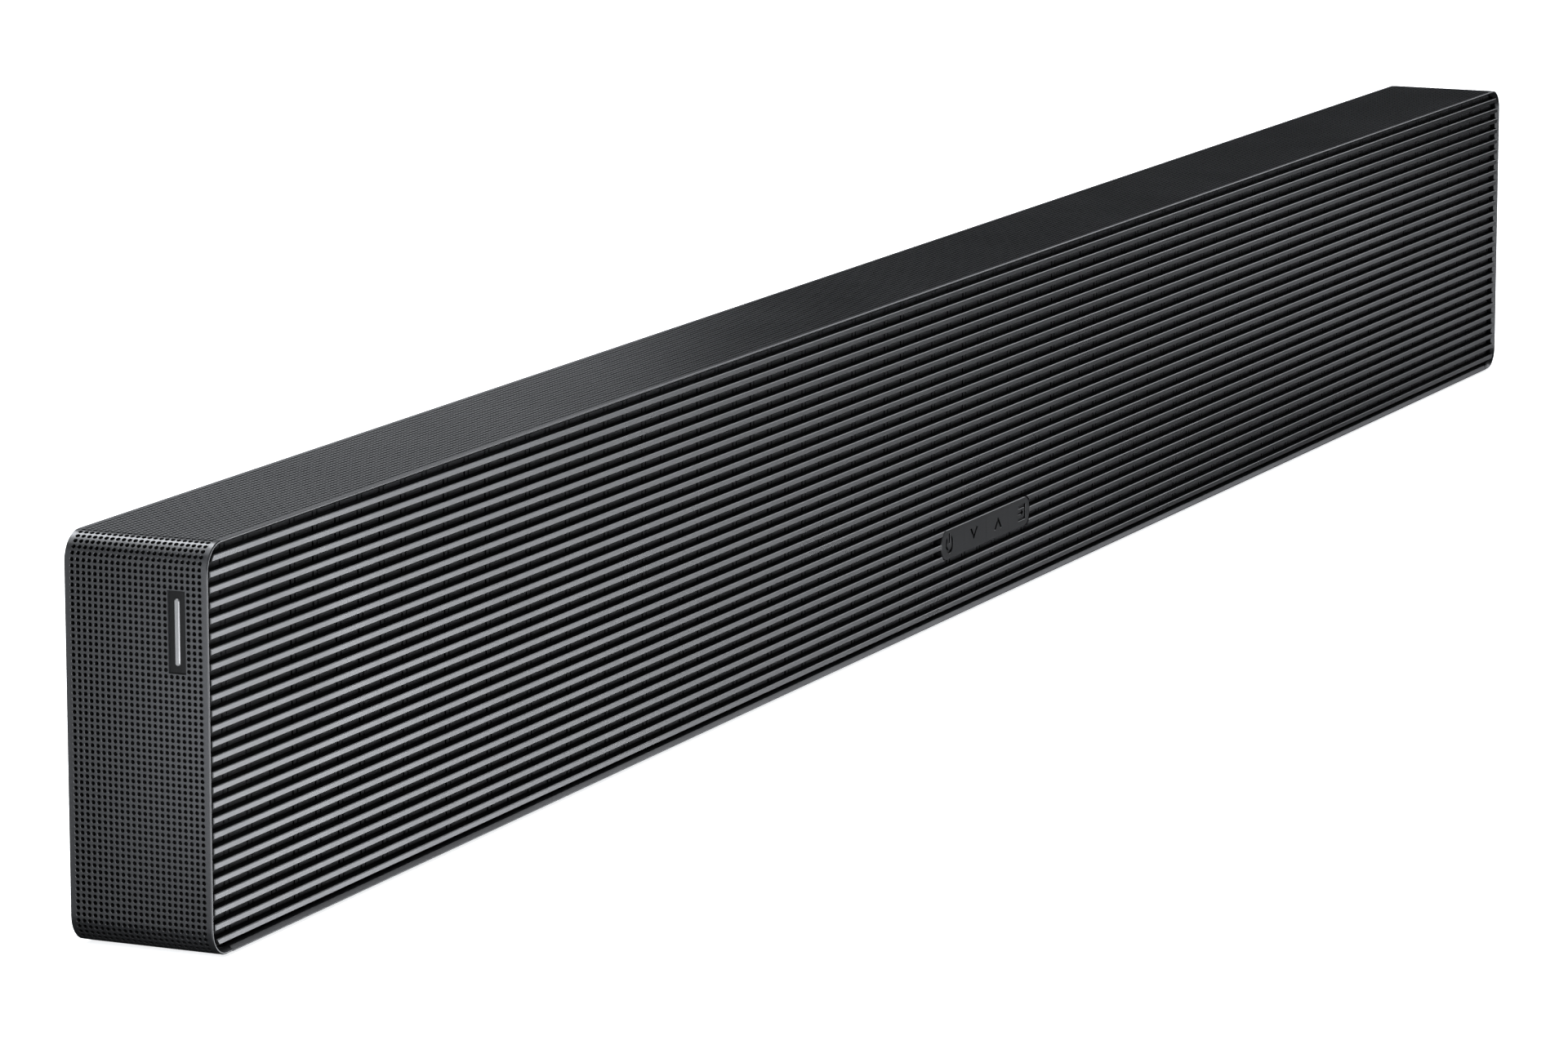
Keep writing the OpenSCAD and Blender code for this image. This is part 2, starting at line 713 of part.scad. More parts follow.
// Tweeter: a body with a cup, and a thin dome that moves in it
module tweeter(x) color("#222224") {
    well_r = dome_r + 0.4;
    on_baffle(x) difference() {
        rotate_extrude() polygon([
            [0, -tweeter_back], [tweeter_body_r, -tweeter_back], [tweeter_body_r, 0], [tweeter_flange_r, 0],
            [tweeter_flange_r, flange_h], [well_r + 2, flange_h], [well_r, 0.6], [well_r, -3], [0, -3]]);
        for (side = [-1, 1]) translate([0, side * tweeter_screw_r, -1])
            cylinder(h = flange_h + 2, r = screw_clear_r);
    }
}

module dome(x) color("#3d3a36") {
    rise = 4;
    t = 0.5;
    on_baffle(x) rotate_extrude() polygon(concat(
        [for (i = [0:10]) let (u = 1 - i / 10) [dome_r * u, rise * (1 - u * u)]],
        [for (i = [0:10]) let (u = i / 10) [(dome_r - t) * u, rise * (1 - u * u) - t]],
        [[dome_r - t, -2], [dome_r, -2]]));
}

module left_tweeter() tweeter(TWEETER_X[0]);
module right_tweeter() tweeter(TWEETER_X[1]);
module left_dome() dome(TWEETER_X[0]);
module right_dome() dome(TWEETER_X[1]);

// Circuit boards on the baffle's posts
module circuit_board(span) {
    difference() {
        block([span[0], pcb_y, pcb_low_z], [span[1], pcb_y + pcb_t, pcb_high_z]);
        for (p = board_posts(span)) rod_y(p[0], p[1], screw_clear_r, pcb_y - 1, pcb_y + pcb_t + 1);
    }
}

module main_board() color("#1f5a37") {
    circuit_board(main_x);
    for (i = [0:3])
        translate([chip_x + i * chip_pitch, pcb_y - chip_t, pcb_low_z + 2 * post_in])
            cube([chip_w, chip_t + eps, chip_w]);
}

module power_board() color("#1f5a37") circuit_board(power_x);

// Heatsink: a base with upright fins, on the main board
module heatsink() color("#a9abad") {
    x0 = -86;
    w = 96;
    z0 = pcb_high_z - 36;
    h = 22;
    plate_t = 2;
    fin_count = 12;
    fin_t = 1.5;
    fin_d = 6.5;
    fin_pitch = (w - fin_t) / (fin_count - 1);
    translate([x0, socket_y, z0]) cube([w, plate_t, h]);
    for (i = [0:fin_count - 1])
        translate([x0 + i * fin_pitch, socket_y + plate_t - eps, z0]) cube([fin_t, fin_d, h]);
}

// Transformer: a wound core against the board, and a taller yoke in front of it
module transformer() color("#c9b26a") {
    x0 = 130;
    z0 = pcb_low_z + 6;
    core = [34, 13, 20];
    yoke = [24, 2, 28];
    translate([x0, pcb_y - core[1], z0 + (yoke[2] - core[2]) / 2]) cube(core);
    translate([x0 + (core[0] - yoke[0]) / 2, pcb_y - core[1] - yoke[1], z0]) cube(yoke + [0, eps, 0]);
}

module capacitors() color("#23344f") {
    can_r = 6.2;
    can_h = 24;
    for (i = [0:2])
        translate([182 + i * 15, pcb_y - can_r - 0.3, pcb_low_z + 8]) cylinder(h = can_h, r = can_r);
}

// Mains inlet: a figure-eight cup facing down into the bay, with two pins
module inlet_cup() {
    depth = 11;
    low_z = socket_low_z - 2;
    for (side = [-1, 1]) translate([inlet_x + side * pin_dx, inlet_y, low_z]) cylinder(h = depth, r = cup_r);
    block([inlet_x - pin_dx, inlet_y - cup_r, low_z], [inlet_x + pin_dx, inlet_y + cup_r, low_z + depth]);
}

module mains_inlet() color("#141414") {
    difference() {
        block([inlet_x - inlet_w / 2, socket_y, socket_low_z - mouth_out],
              [inlet_x + inlet_w / 2, socket_y + inlet_t, socket_low_z + inlet_depth]);
        inlet_cup();
        for (side = [-1, 1])
            translate([inlet_x + side * pin_dx, inlet_y, socket_low_z])
                cylinder(h = inlet_depth + 1, r = pin_r + 0.02);
    }
}

module inlet_pins() color("#c8a24a") {
    for (side = [-1, 1])
        translate([inlet_x + side * pin_dx, inlet_y, socket_low_z + 0.5])
            cylinder(h = inlet_depth - 1, r = pin_r);
}

// Signal sockets on the main board, their mouths in the bay's ceiling
module socket(x, w, t, depth, wall) {
    difference() {
        block([x - w / 2, socket_y, socket_low_z - mouth_out], [x + w / 2, socket_y + t, socket_low_z + depth]);
        block([x - w / 2 + wall, socket_y + wall, socket_low_z - 2],
              [x + w / 2 - wall, socket_y + t - wall, socket_low_z + depth - 2]);
    }
}

module hdmi_sockets() color("#b4b5b8") {
    tongue = [11, 1.4, 6];
    for (x = hdmi_x) {
        socket(x, hdmi_w, hdmi_t, 12, 0.6);
        translate([x - tongue[0] / 2, socket_y + (hdmi_t - tongue[1]) / 2, socket_low_z + 4.5]) cube(tongue);
    }
}

module optical_socket() color("#1a1a1a") socket(optical_x, optical_w, optical_t, 14, 1.8);

// Wireless module: a small board flat on the baffle, with a shield can
module wireless_module() color("#8d9093") {
    board = [50, 1.2, 30];
    can = [26, 2.8, 22];
    translate([-200, baffle_back_y, base_z + 34]) {
        cube(board);
        translate([6, board[1] - eps, 4]) cube(can);
    }
}

// Threaded inserts for a wall bracket, in the rear cover's bosses
module bracket_inserts() color("#c8a24a") {
    for (p = BRACKET_POINTS) difference() {
        rod_y(p[0], p[1], insert_r, box_back_y + 0.4, cover_back_y);
        rod_y(p[0], p[1], bracket_r, box_back_y + 1.4, rear_y);
    }
}

module rubber_feet() color("#101010") {
    for (side = [-1, 1], x = foot_x)
        translate([side * x, 0, 0]) linear_extrude(foot_h) polygon(rounded_rect(foot_w, foot_d, foot_r));
}

// Screws: a flat head and a plain shank, the head's top at height 0
module screw(head_h, shank) {
    rotate_extrude() polygon([[0, 0], [screw_head_r, 0], [screw_head_r, -head_h], [screw_r, -head_h],
                              [screw_r, -head_h - shank], [0, -head_h - shank]]);
}

module rear_screws() color("#8a8c8f") {
    for (p = REAR_SCREWS)
        translate([p[0], cover_back_y - head_clear, p[1]]) rotate([-90, 0, 0]) screw(rear_sink - head_clear, 7);
}

module driver_screws() color("#8a8c8f") {
    for (x = WOOFER_X, a = [45:90:315]) on_baffle(x) rotate([0, 0, a])
        translate([woofer_screw_r, 0, flange_h + pan_h]) screw(pan_h, 5);
    for (x = TWEETER_X, side = [-1, 1]) on_baffle(x)
        translate([0, side * tweeter_screw_r, flange_h + pan_h]) screw(pan_h, 5);
}

module bottom_screws() color("#8a8c8f") {
    for (side = [-1, 1], x = bottom_screw_x)
        translate([side * x, bottom_screw_y, base_z + 0.05]) rotate([180, 0, 0]) screw(bottom_sink - 0.05, 7);
}

module board_screws() color("#8a8c8f") {
    for (p = ALL_POSTS) translate([p[0], socket_y + pan_h, p[1]]) rotate([-90, 0, 0]) screw(pan_h, 6);
}

// Leads: one tube along each route, with a ring of points at every bend
function unit(v) = v / norm(v);
function heading(route, i) =
    i == 0 ? unit(route[1] - route[0]) :
    i == len(route) - 1 ? unit(route[i] - route[i - 1]) :
    unit(unit(route[i] - route[i - 1]) + unit(route[i + 1] - route[i]));
function lead_ring(p, d) =
    let (side = unit(cross(abs(d[1]) < 0.9 ? [0, 1, 0] : [0, 0, 1], d)), up = cross(d, side))
    [for (i = [0:lead_sides - 1]) let (a = 360 * i / lead_sides) p + lead_r * (cos(a) * side + sin(a) * up)];

module lead(route) {
    n = lead_sides;
    last = len(route) - 1;
    polyhedron(
        points = [for (i = [0:last]) each lead_ring(route[i], heading(route, i))],
        faces = concat(
            [[for (k = [0:n - 1]) k]],
            [for (i = [0:last - 1], k = [0:n - 1])
                [i * n + k, (i + 1) * n + k, (i + 1) * n + (k + 1) % n, i * n + (k + 1) % n]],
            [[for (k = [n - 1:-1:0]) last * n + k]]));
}

module wiring_harness() color("#a02020") {
    for (side = [-1, 1], k = [0:2]) {
        z = lead_z - k * lead_pitch;
        start_x = side < 0 ? main_x[0] + 12 : main_x[1] - 12;
        lead([[start_x, lead_y + 10, z], [start_x + side * 6, lead_y + 7, z], [start_x + side * 20, lead_y, z],
              [side * (box_inner_x - 20), lead_y, z], [side * (box_inner_x - 0.5), lead_y, z]]);
    }
    lead([[60, lead_y + 9, pcb_low_z + 10], [60, lead_y + 6, pcb_low_z + 8], [56, lead_y, keys_z + 20],
          [56, lead_y, keys_z + 6]]);
}

perforated_shell();
shell_liner();
bottom_cover();
rear_cover();
grille_slats();
grille_frame();
acoustic_mesh();
badge();
key_frame();
power_key();
volume_down_key();
volume_up_key();
source_key();
power_plunger();
volume_down_plunger();
volume_up_plunger();
source_plunger();
key_board();
tact_switches();
front_baffle();
left_enclosure();
right_enclosure();
left_outer_basket();
left_inner_basket();
right_inner_basket();
right_outer_basket();
left_outer_magnet();
left_inner_magnet();
right_inner_magnet();
right_outer_magnet();
left_outer_surround();
left_inner_surround();
right_inner_surround();
right_outer_surround();
left_outer_cone();
left_inner_cone();
right_inner_cone();
right_outer_cone();
left_tweeter();
right_tweeter();
left_dome();
right_dome();
main_board();
heatsink();
power_board();
transformer();
capacitors();
mains_inlet();
inlet_pins();
hdmi_sockets();
optical_socket();
wireless_module();
bracket_inserts();
rubber_feet();
rear_screws();
driver_screws();
bottom_screws();
board_screws();
wiring_harness();
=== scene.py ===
"""The looks of a soundbar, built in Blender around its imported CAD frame. Lengths are in metres."""
import json
import math

import bmesh
import bpy
import numpy as np
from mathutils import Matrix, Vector
from mathutils.geometry import tessellate_polygon


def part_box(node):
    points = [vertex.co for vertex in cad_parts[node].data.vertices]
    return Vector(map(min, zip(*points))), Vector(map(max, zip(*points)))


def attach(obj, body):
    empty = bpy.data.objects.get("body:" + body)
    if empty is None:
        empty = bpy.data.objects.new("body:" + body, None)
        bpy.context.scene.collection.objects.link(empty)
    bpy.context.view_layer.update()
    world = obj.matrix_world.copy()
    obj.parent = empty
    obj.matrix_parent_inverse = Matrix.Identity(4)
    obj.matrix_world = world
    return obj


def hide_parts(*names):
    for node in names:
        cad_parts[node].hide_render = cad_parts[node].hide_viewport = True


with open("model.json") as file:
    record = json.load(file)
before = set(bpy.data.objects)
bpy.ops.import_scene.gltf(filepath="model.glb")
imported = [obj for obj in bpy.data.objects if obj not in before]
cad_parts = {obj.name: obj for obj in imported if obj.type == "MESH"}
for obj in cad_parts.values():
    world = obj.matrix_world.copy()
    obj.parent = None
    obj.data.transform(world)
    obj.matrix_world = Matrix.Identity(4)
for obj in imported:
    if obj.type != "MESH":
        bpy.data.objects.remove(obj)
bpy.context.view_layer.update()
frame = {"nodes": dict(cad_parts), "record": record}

MM = 0.001

# ---------------------------------------------------------------- sizes of the shown pieces

SHEET_T = 1.6 * MM
BEND_R = 9 * MM
SEAM_GAP = 0.2 * MM
HOLE_PITCH = 2 * MM
HOLE_R = 0.70 * MM
HOLE_EDGE = 0.08 * MM
TOP_HOLE_R = 0.71 * MM
HOLE_COLUMNS = 23
HOLE_MARGIN = 2.7 * MM
END_HOLE_SIDES = 12
TOP_HOLE_SIDES = 8
TOP_PIECES = 4
RIM_EDGE = 0.3 * MM
RIM_LAND = 0.6 * MM
RIM_CHAMFER = 1.6 * MM
BACK_EDGE = 0.2 * MM

SLAT_COUNT = 26
SLAT_H = 2 * MM
SLAT_EDGE = 0.25 * MM
KEY_SLAT = 21
END_LEVELS = 7
RIB_PITCH = 15.1 * MM
RIB_LINE_OUT = 1.5 * MM
RIB_LINE_W = 0.8 * MM

KEYS = ["power", "volume_down", "volume_up", "source"]
KEY_LIP = 0.9 * MM
KEY_LIP_T = 1 * MM
KEY_CORNER_R = 5.2 * MM
KEY_CLEAR = 0.3 * MM
KEY_EDGE = 0.25 * MM
KEY_SEAM_EDGE = 0.01 * MM
KEY_SEAM_CLOSED = 0.06 * MM
KEY_CAP_DEPTH = 4.3 * MM
STEM_R = 1.2 * MM
SIGN_DEPTH = 0.6 * MM
SIGN_EDGE = 0.1 * MM
SIGN_H = 7.4 * MM
SIGN_LINE = 1.5 * MM
SIGN_PITCH = 24.3 * MM
LIP_CHAMFER = 0.2 * MM

BADGE_SINK = 0.7 * MM
BADGE_PLATE_EDGE = 0.15 * MM
BADGE_BAR_R = 0.85 * MM
BADGE_BAR_UP = 10.5 * MM
BADGE_BAR_EDGE = 0.25 * MM
BADGE_BAR_ROOT = 0.1 * MM
BADGE_PLATE_REACH = 0.12 * MM
BADGE_PLATE_AREA = 40 * MM**2

SHARP_ANGLE = math.radians(24)
FLOOR_HALF = 15.0
FLOOR_GLOW = 0.85
ROOM_GLOW = 0.006
COOL_WHITE = (0.98, 0.99, 1.0)
SOFTBOX_WHITE = (0.93, 0.955, 1.0)

shell_low, shell_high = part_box("perforated_shell")
front_y = shell_low.y
depth = shell_high.y - shell_low.y
straight_x = shell_high.x - BEND_R
seam_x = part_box("bottom_cover")[1].x + SEAM_GAP
bend_length = BEND_R * math.pi / 2
side_height = shell_high.z - shell_low.z - 2 * BEND_R
return_length = straight_x - seam_x
column_pitch = (depth - 2 * HOLE_MARGIN) / (HOLE_COLUMNS - 1)

# The sheet's outline as lengths and turns, from the left return round to the right one
STRETCHES = [
    (return_length, 0),
    (bend_length, -math.pi / 2),
    (side_height, 0),
    (bend_length, -math.pi / 2),
    (2 * straight_x, 0),
    (bend_length, -math.pi / 2),
    (side_height, 0),
    (bend_length, -math.pi / 2),
    (return_length, 0),
]


# ---------------------------------------------------------------- mesh helpers


def mesh_object(name, points, face_groups, second_groups=()):
    """A mesh piece from an array of points and arrays of faces, each array holding faces of one size.

    The faces of second_groups take the piece's second material.
    """
    first_count = sum(len(group) for group in face_groups)
    face_groups = list(face_groups) + list(second_groups)
    corners = np.concatenate([group.ravel() for group in face_groups]).astype(np.int32)
    totals = np.concatenate([np.full(len(group), group.shape[1]) for group in face_groups])
    mesh = bpy.data.meshes.new(name)
    mesh.vertices.add(len(points))
    mesh.vertices.foreach_set("co", np.asarray(points, np.float32).ravel())
    mesh.loops.add(len(corners))
    mesh.loops.foreach_set("vertex_index", corners)
    mesh.polygons.add(len(totals))
    starts = np.concatenate([[0], np.cumsum(totals)[:-1]]).astype(np.int32)
    mesh.polygons.foreach_set("loop_start", starts)
    slots = (np.arange(len(totals)) >= first_count).astype(np.int32)
    mesh.polygons.foreach_set("material_index", slots)
    mesh.update(calc_edges=True)
    mesh.validate()
    return linked(name, mesh)


def linked(name, mesh):
    """Puts a mesh in the scene as a smooth-shaded object with sharp edges kept sharp."""
    mesh.shade_smooth()
    mesh.set_sharp_from_angle(angle=SHARP_ANGLE)
    piece = bpy.data.objects.new(name, mesh)
    bpy.context.scene.collection.objects.link(piece)
    return piece


def bmesh_object(name, bm):
    """Closes a bmesh into a piece, with its faces turned outwards."""
    bmesh.ops.remove_doubles(bm, verts=bm.verts, dist=1e-7)
    bmesh.ops.recalc_face_normals(bm, faces=bm.faces)
    mesh = bpy.data.meshes.new(name)
    bm.to_mesh(mesh)
    bm.free()
    return linked(name, mesh)


def finished(piece, body, slot_name, *nodes):
    """Gives a piece its body and its material slot, and hides the CAD nodes that it stands for."""
    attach(piece, body)
    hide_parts(*nodes)
    piece.data.materials.append(MATERIALS[slot_name])
    return piece


def inset_outline(points, distances):
    """Moves each side of a counter-clockwise outline inwards by its own distance."""
    points = np.asarray(points, float)
    distances = np.broadcast_to(distances, len(points))
    sides = np.roll(points, -1, axis=0) - points
    sides = sides / np.linalg.norm(sides, axis=1)[:, None]
    normals = np.stack([-sides[:, 1], sides[:, 0]], axis=1)
    before = np.roll(normals, 1, axis=0)
    near = np.roll(distances, 1)
    cosine = np.sum(before * normals, axis=1)
    turning = 1 - cosine**2
    straight = turning < 1e-6
    turning = np.where(straight, 1, turning)
    mitre = (near - cosine * distances)[:, None] * before + (distances - cosine * near)[:, None] * normals
    moved = np.where(straight[:, None], distances[:, None] * normals, mitre / turning[:, None])
    return points + moved


def arc(cx, cy, radius, start, end, steps):
    """Points along an arc, angles in degrees."""
    angles = np.radians(np.linspace(start, end, steps + 1))
    return [(cx + radius * math.cos(a), cy + radius * math.sin(a)) for a in angles]


# ---------------------------------------------------------------- procedural materials


class Finish:
    """A Principled material and the nodes that drive its colour, roughness and bump."""

    def __init__(self, name, metallic=0.0, specular=0.5, coat=0.0, coat_roughness=0.2, sheen=0.0):
        self.material = bpy.data.materials.new(name)
        self.material.use_nodes = True
        self.tree = self.material.node_tree
        self.shader = self.tree.nodes["Principled BSDF"]
        self.shader.inputs["Metallic"].default_value = metallic
        self.shader.inputs["Specular IOR Level"].default_value = specular
        self.shader.inputs["Coat Weight"].default_value = coat
        self.shader.inputs["Coat Roughness"].default_value = coat_roughness
        self.shader.inputs["Sheen Weight"].default_value = sheen
        self.coords = self.node("ShaderNodeTexCoord").outputs["Object"]

    def node(self, kind, **settings):
        made = self.tree.nodes.new(kind)
        for key, value in settings.items():
            setattr(made, key, value)
        return made

    def feed(self, socket, value):
        """Links an output to a socket, or sets a plain value on it."""
        if isinstance(value, bpy.types.NodeSocket):
            self.tree.links.new(value, socket)
        else:
            socket.default_value = value

    def stretched(self, x, y, z):
        """The object's coordinates, scaled along each axis."""
        mapping = self.node("ShaderNodeMapping")
        self.feed(mapping.inputs["Vector"], self.coords)
        mapping.inputs["Scale"].default_value = (x, y, z)
        return mapping.outputs["Vector"]

    def noise(self, grain, detail=3.0, coords=None):
        """Noise whose features are about grain metres across."""
        made = self.node("ShaderNodeTexNoise")
        self.feed(made.inputs["Vector"], coords or self.coords)
        made.inputs["Scale"].default_value = 1 / grain
        made.inputs["Detail"].default_value = detail
        return made.outputs["Fac"]

    def cells(self, grain, feature="F1", output="Distance", coords=None):
        made = self.node("ShaderNodeTexVoronoi", feature=feature)
        self.feed(made.inputs["Vector"], coords or self.coords)
        made.inputs["Scale"].default_value = 1 / grain
        return made.outputs[output]

    def bands(self, axis, spacing, distortion=0.0):
        """Sine bands across one axis, one for each spacing."""
        made = self.node("ShaderNodeTexWave", wave_type="BANDS", bands_direction=axis, wave_profile="SIN")
        self.feed(made.inputs["Vector"], self.coords)
        made.inputs["Scale"].default_value = math.pi / 10 / spacing
        made.inputs["Distortion"].default_value = distortion
        return made.outputs["Fac"]

    def rib_lines(self):
        """1 on the narrow lines beside each upright rib, 0 elsewhere."""
        split = self.node("ShaderNodeSeparateXYZ")
        self.feed(split.inputs["Vector"], self.coords)
        ribs = self.combined("MULTIPLY", split.outputs["X"], 1 / RIB_PITCH)
        offset = self.combined("SUBTRACT", ribs, self.combined("ROUND", ribs, 0.0))
        away = self.combined("MULTIPLY", self.combined("ABSOLUTE", offset, 0.0), RIB_PITCH)
        line = self.node("ShaderNodeMath", operation="COMPARE")
        self.feed(line.inputs[0], away)
        line.inputs[1].default_value = RIB_LINE_OUT
        line.inputs[2].default_value = RIB_LINE_W / 2
        return line.outputs["Value"]

    def ranged(self, value, low, high, from_low=0.0, from_high=1.0):
        made = self.node("ShaderNodeMapRange")
        self.feed(made.inputs["Value"], value)
        for socket, number in zip(made.inputs[1:5], (from_low, from_high, low, high)):
            socket.default_value = number
        return made.outputs["Result"]

    def combined(self, operation, a, b):
        made = self.node("ShaderNodeMath", operation=operation)
        self.feed(made.inputs[0], a)
        self.feed(made.inputs[1], b)
        return made.outputs["Value"]

    def blended(self, factor, a, b):
        made = self.node("ShaderNodeMix", data_type="RGBA")
        self.feed(made.inputs["Factor"], factor)
        self.feed(made.inputs["A"], a)
        self.feed(made.inputs["B"], b)
        return made.outputs["Result"]

    def colour(self, factor, dark, light):
        """Colour that wanders between two greys or colours with a factor."""
        mixed = self.blended(factor, (*dark, 1), (*light, 1))
        self.feed(self.shader.inputs["Base Color"], mixed)
        return mixed

    def roughness(self, factor, low, high):
        self.feed(self.shader.inputs["Roughness"], self.ranged(factor, low, high))

    def bump(self, height, size, strength=1.0):
        """Relief of about size metres from a height between 0 and 1."""
        made = self.node("ShaderNodeBump")
        made.inputs["Strength"].default_value = strength
        made.inputs["Distance"].default_value = size
        self.feed(made.inputs["Height"], height)
        self.feed(self.shader.inputs["Normal"], made.outputs["Normal"])


def grey(level, tint=0.0):
    """A linear grey, a little cooler when tint is above 0."""
    return (level * (1 - tint), level, level * (1 + 2 * tint))


def speckled_paint(name, dark, light, rough, grain, peel, metallic=0.35, specular=0.5):
    """Metallic paint: fine flakes, slow clouding and orange peel."""
    finish = Finish(name, metallic=metallic, specular=specular)
    flakes = finish.cells(grain, output="Color")
    split = finish.node("ShaderNodeSeparateColor")
    finish.feed(split.inputs["Color"], flakes)
    clouds = finish.noise(0.04)
    flake_share = finish.ranged(split.outputs["Red"], 0, 0.7)
    cloud_share = finish.ranged(clouds, 0, 0.3)
    finish.colour(finish.combined("ADD", flake_share, cloud_share), dark, light)
    finish.roughness(clouds, rough - 0.04, rough + 0.04)
    finish.bump(finish.noise(peel, detail=2), 0.02 * MM, 0.35)
    return finish.material


def moulded_plastic(name, dark, light, rough, grain=0.25 * MM, relief=0.015 * MM, specular=0.5):
    """Injection-moulded plastic with a spark-eroded texture."""
    finish = Finish(name, specular=specular)
    erosion = finish.noise(grain, detail=4)
    clouds = finish.noise(0.03)
    finish.colour(finish.ranged(finish.combined("MULTIPLY", erosion, clouds), 0, 1, 0.1, 0.45), dark, light)
    finish.roughness(erosion, rough - 0.06, rough + 0.08)
    finish.bump(erosion, relief, 0.6)
    return finish.material


def ribbed_plastic(name, dark, light, rough):
    """Matt moulded plastic with a painted shadow line on each side of every rib."""
    finish = Finish(name, specular=0.2)
    erosion = finish.noise(0.25 * MM, detail=4)
    plain = finish.colour(finish.ranged(erosion, 0, 1, 0.3, 0.7), dark, light)
    lined = finish.blended(finish.rib_lines(), plain, (*grey(0.004), 1))
    finish.feed(finish.shader.inputs["Base Color"], lined)
    finish.roughness(erosion, rough - 0.06, rough + 0.08)
    finish.bump(erosion, 0.015 * MM, 0.6)
    return finish.material


def woven(name, dark, light, pitch, rough=0.9, axes=("X", "Z"), sheen=0.2):
    """Cloth with threads crossing at pitch."""
    finish = Finish(name, sheen=sheen, specular=0.25)
    warp = finish.bands(axes[0], pitch)
    weft = finish.bands(axes[1], pitch)
    threads = finish.combined("MAXIMUM", warp, weft)
    fibre = finish.noise(pitch * 0.6, detail=4)
    finish.colour(finish.combined("MULTIPLY", threads, fibre), dark, light)
    finish.roughness(fibre, rough - 0.08, rough + 0.05)
    finish.bump(threads, pitch * 0.25, 0.7)
    return finish.material


def worked_metal(name, dark, light, rough, along, metallic=1.0):
    """Bare metal with drawn or turned lines, finest across the given scale factors."""
    finish = Finish(name, metallic=metallic)
    lines = finish.noise(1.2 * MM, detail=5, coords=finish.stretched(*along))
    stains = finish.noise(6 * MM, detail=4)
    finish.colour(finish.combined("MULTIPLY", finish.ranged(lines, 0.6, 1.2), stains), dark, light)
    finish.roughness(lines, rough - 0.08, rough + 0.1)
    finish.bump(lines, 0.01 * MM, 0.5)
    return finish.material


def soft_rubber(name, dark, light, rough):
    """Rubber or silicone with a dusty bloom."""
    finish = Finish(name, specular=0.35, sheen=0.1)
    bloom = finish.noise(5 * MM, detail=5)
    pores = finish.noise(0.4 * MM, detail=3)
    finish.colour(finish.ranged(bloom, 0, 1, 0.35, 0.7), dark, light)
    finish.roughness(bloom, rough - 0.05, rough + 0.08)
    finish.bump(pores, 0.02 * MM, 0.5)
    return finish.material


def pressed_paper(name, dark, light):
    """Pulp cone paper with short fibres."""
    finish = Finish(name, specular=0.3)
    fibres = finish.noise(0.5 * MM, detail=6, coords=finish.stretched(1, 1, 2.5))
    finish.colour(fibres, dark, light)
    finish.roughness(fibres, 0.75, 0.95)
    finish.bump(fibres, 0.05 * MM, 0.8)
    return finish.material


def circuit_board(name):
    """Solder mask with fine copper tracks under it and a glassy surface."""
    finish = Finish(name, coat=0.4, coat_roughness=0.15)
    tracks = finish.cells(3.2 * MM, feature="DISTANCE_TO_EDGE", coords=finish.stretched(1, 1, 2))
    lanes = finish.ranged(tracks, 1, 0, 0.03, 0.08)
    weave = finish.noise(0.5 * MM, detail=3)
    finish.colour(finish.combined("MULTIPLY", lanes, weave), (0.008, 0.075, 0.03), (0.05, 0.26, 0.09))
    finish.roughness(weave, 0.3, 0.45)
    finish.bump(lanes, 0.03 * MM, 0.6)
    return finish.material


def ferrite_ceramic(name):
    """Sintered magnet: dark, slightly glittering grains."""
    finish = Finish(name, metallic=0.4)
    grains = finish.cells(0.35 * MM)
    pits = finish.noise(1.5 * MM, detail=5)
    finish.colour(finish.combined("MULTIPLY", grains, pits), (0.018, 0.018, 0.02), (0.09, 0.088, 0.085))
    finish.roughness(grains, 0.4, 0.7)
    finish.bump(pits, 0.06 * MM, 0.6)
    return finish.material


def wound_tape(name):
    """Yellow polyester tape in overlapping turns."""
    finish = Finish(name, coat=0.3)
    turns = finish.bands("Z", 2.5 * MM, distortion=0.4)
    glue = finish.noise(2 * MM, detail=4)
    finish.colour(finish.combined("MULTIPLY", turns, glue), (0.32, 0.22, 0.04), (0.72, 0.52, 0.14))
    finish.roughness(glue, 0.25, 0.45)
    finish.bump(turns, 0.05 * MM, 0.5)
    return finish.material


def printed_sleeve(name, dark, light, stripe):
    """Shrink sleeve with a pale polarity stripe round each can."""
    finish = Finish(name, coat=0.2)
    wrinkles = finish.noise(1.5 * MM, detail=4, coords=finish.stretched(1, 1, 0.3))
    bars = finish.ranged(finish.bands("X", 15 * MM), 0, 1, 0.93, 0.96)
    sleeve = finish.blended(wrinkles, (*dark, 1), (*light, 1))
    finish.feed(finish.shader.inputs["Base Color"], finish.blended(bars, sleeve, (*stripe, 1)))
    finish.roughness(wrinkles, 0.3, 0.5)
    finish.bump(wrinkles, 0.04 * MM, 0.5)
    return finish.material


def studio_floor(name):
    """Plain pale floor with a faint matt grain, and a glow of its own so that shadows on it stay faint."""
    finish = Finish(name, specular=0.1)
    finish.shader.inputs["Emission Color"].default_value = (*COOL_WHITE, 1)
    finish.shader.inputs["Emission Strength"].default_value = FLOOR_GLOW
    grain = finish.noise(0.004, detail=3)
    finish.colour(grain, grey(0.9), grey(0.94))
    finish.roughness(grain, 0.85, 0.95)
    return finish.material


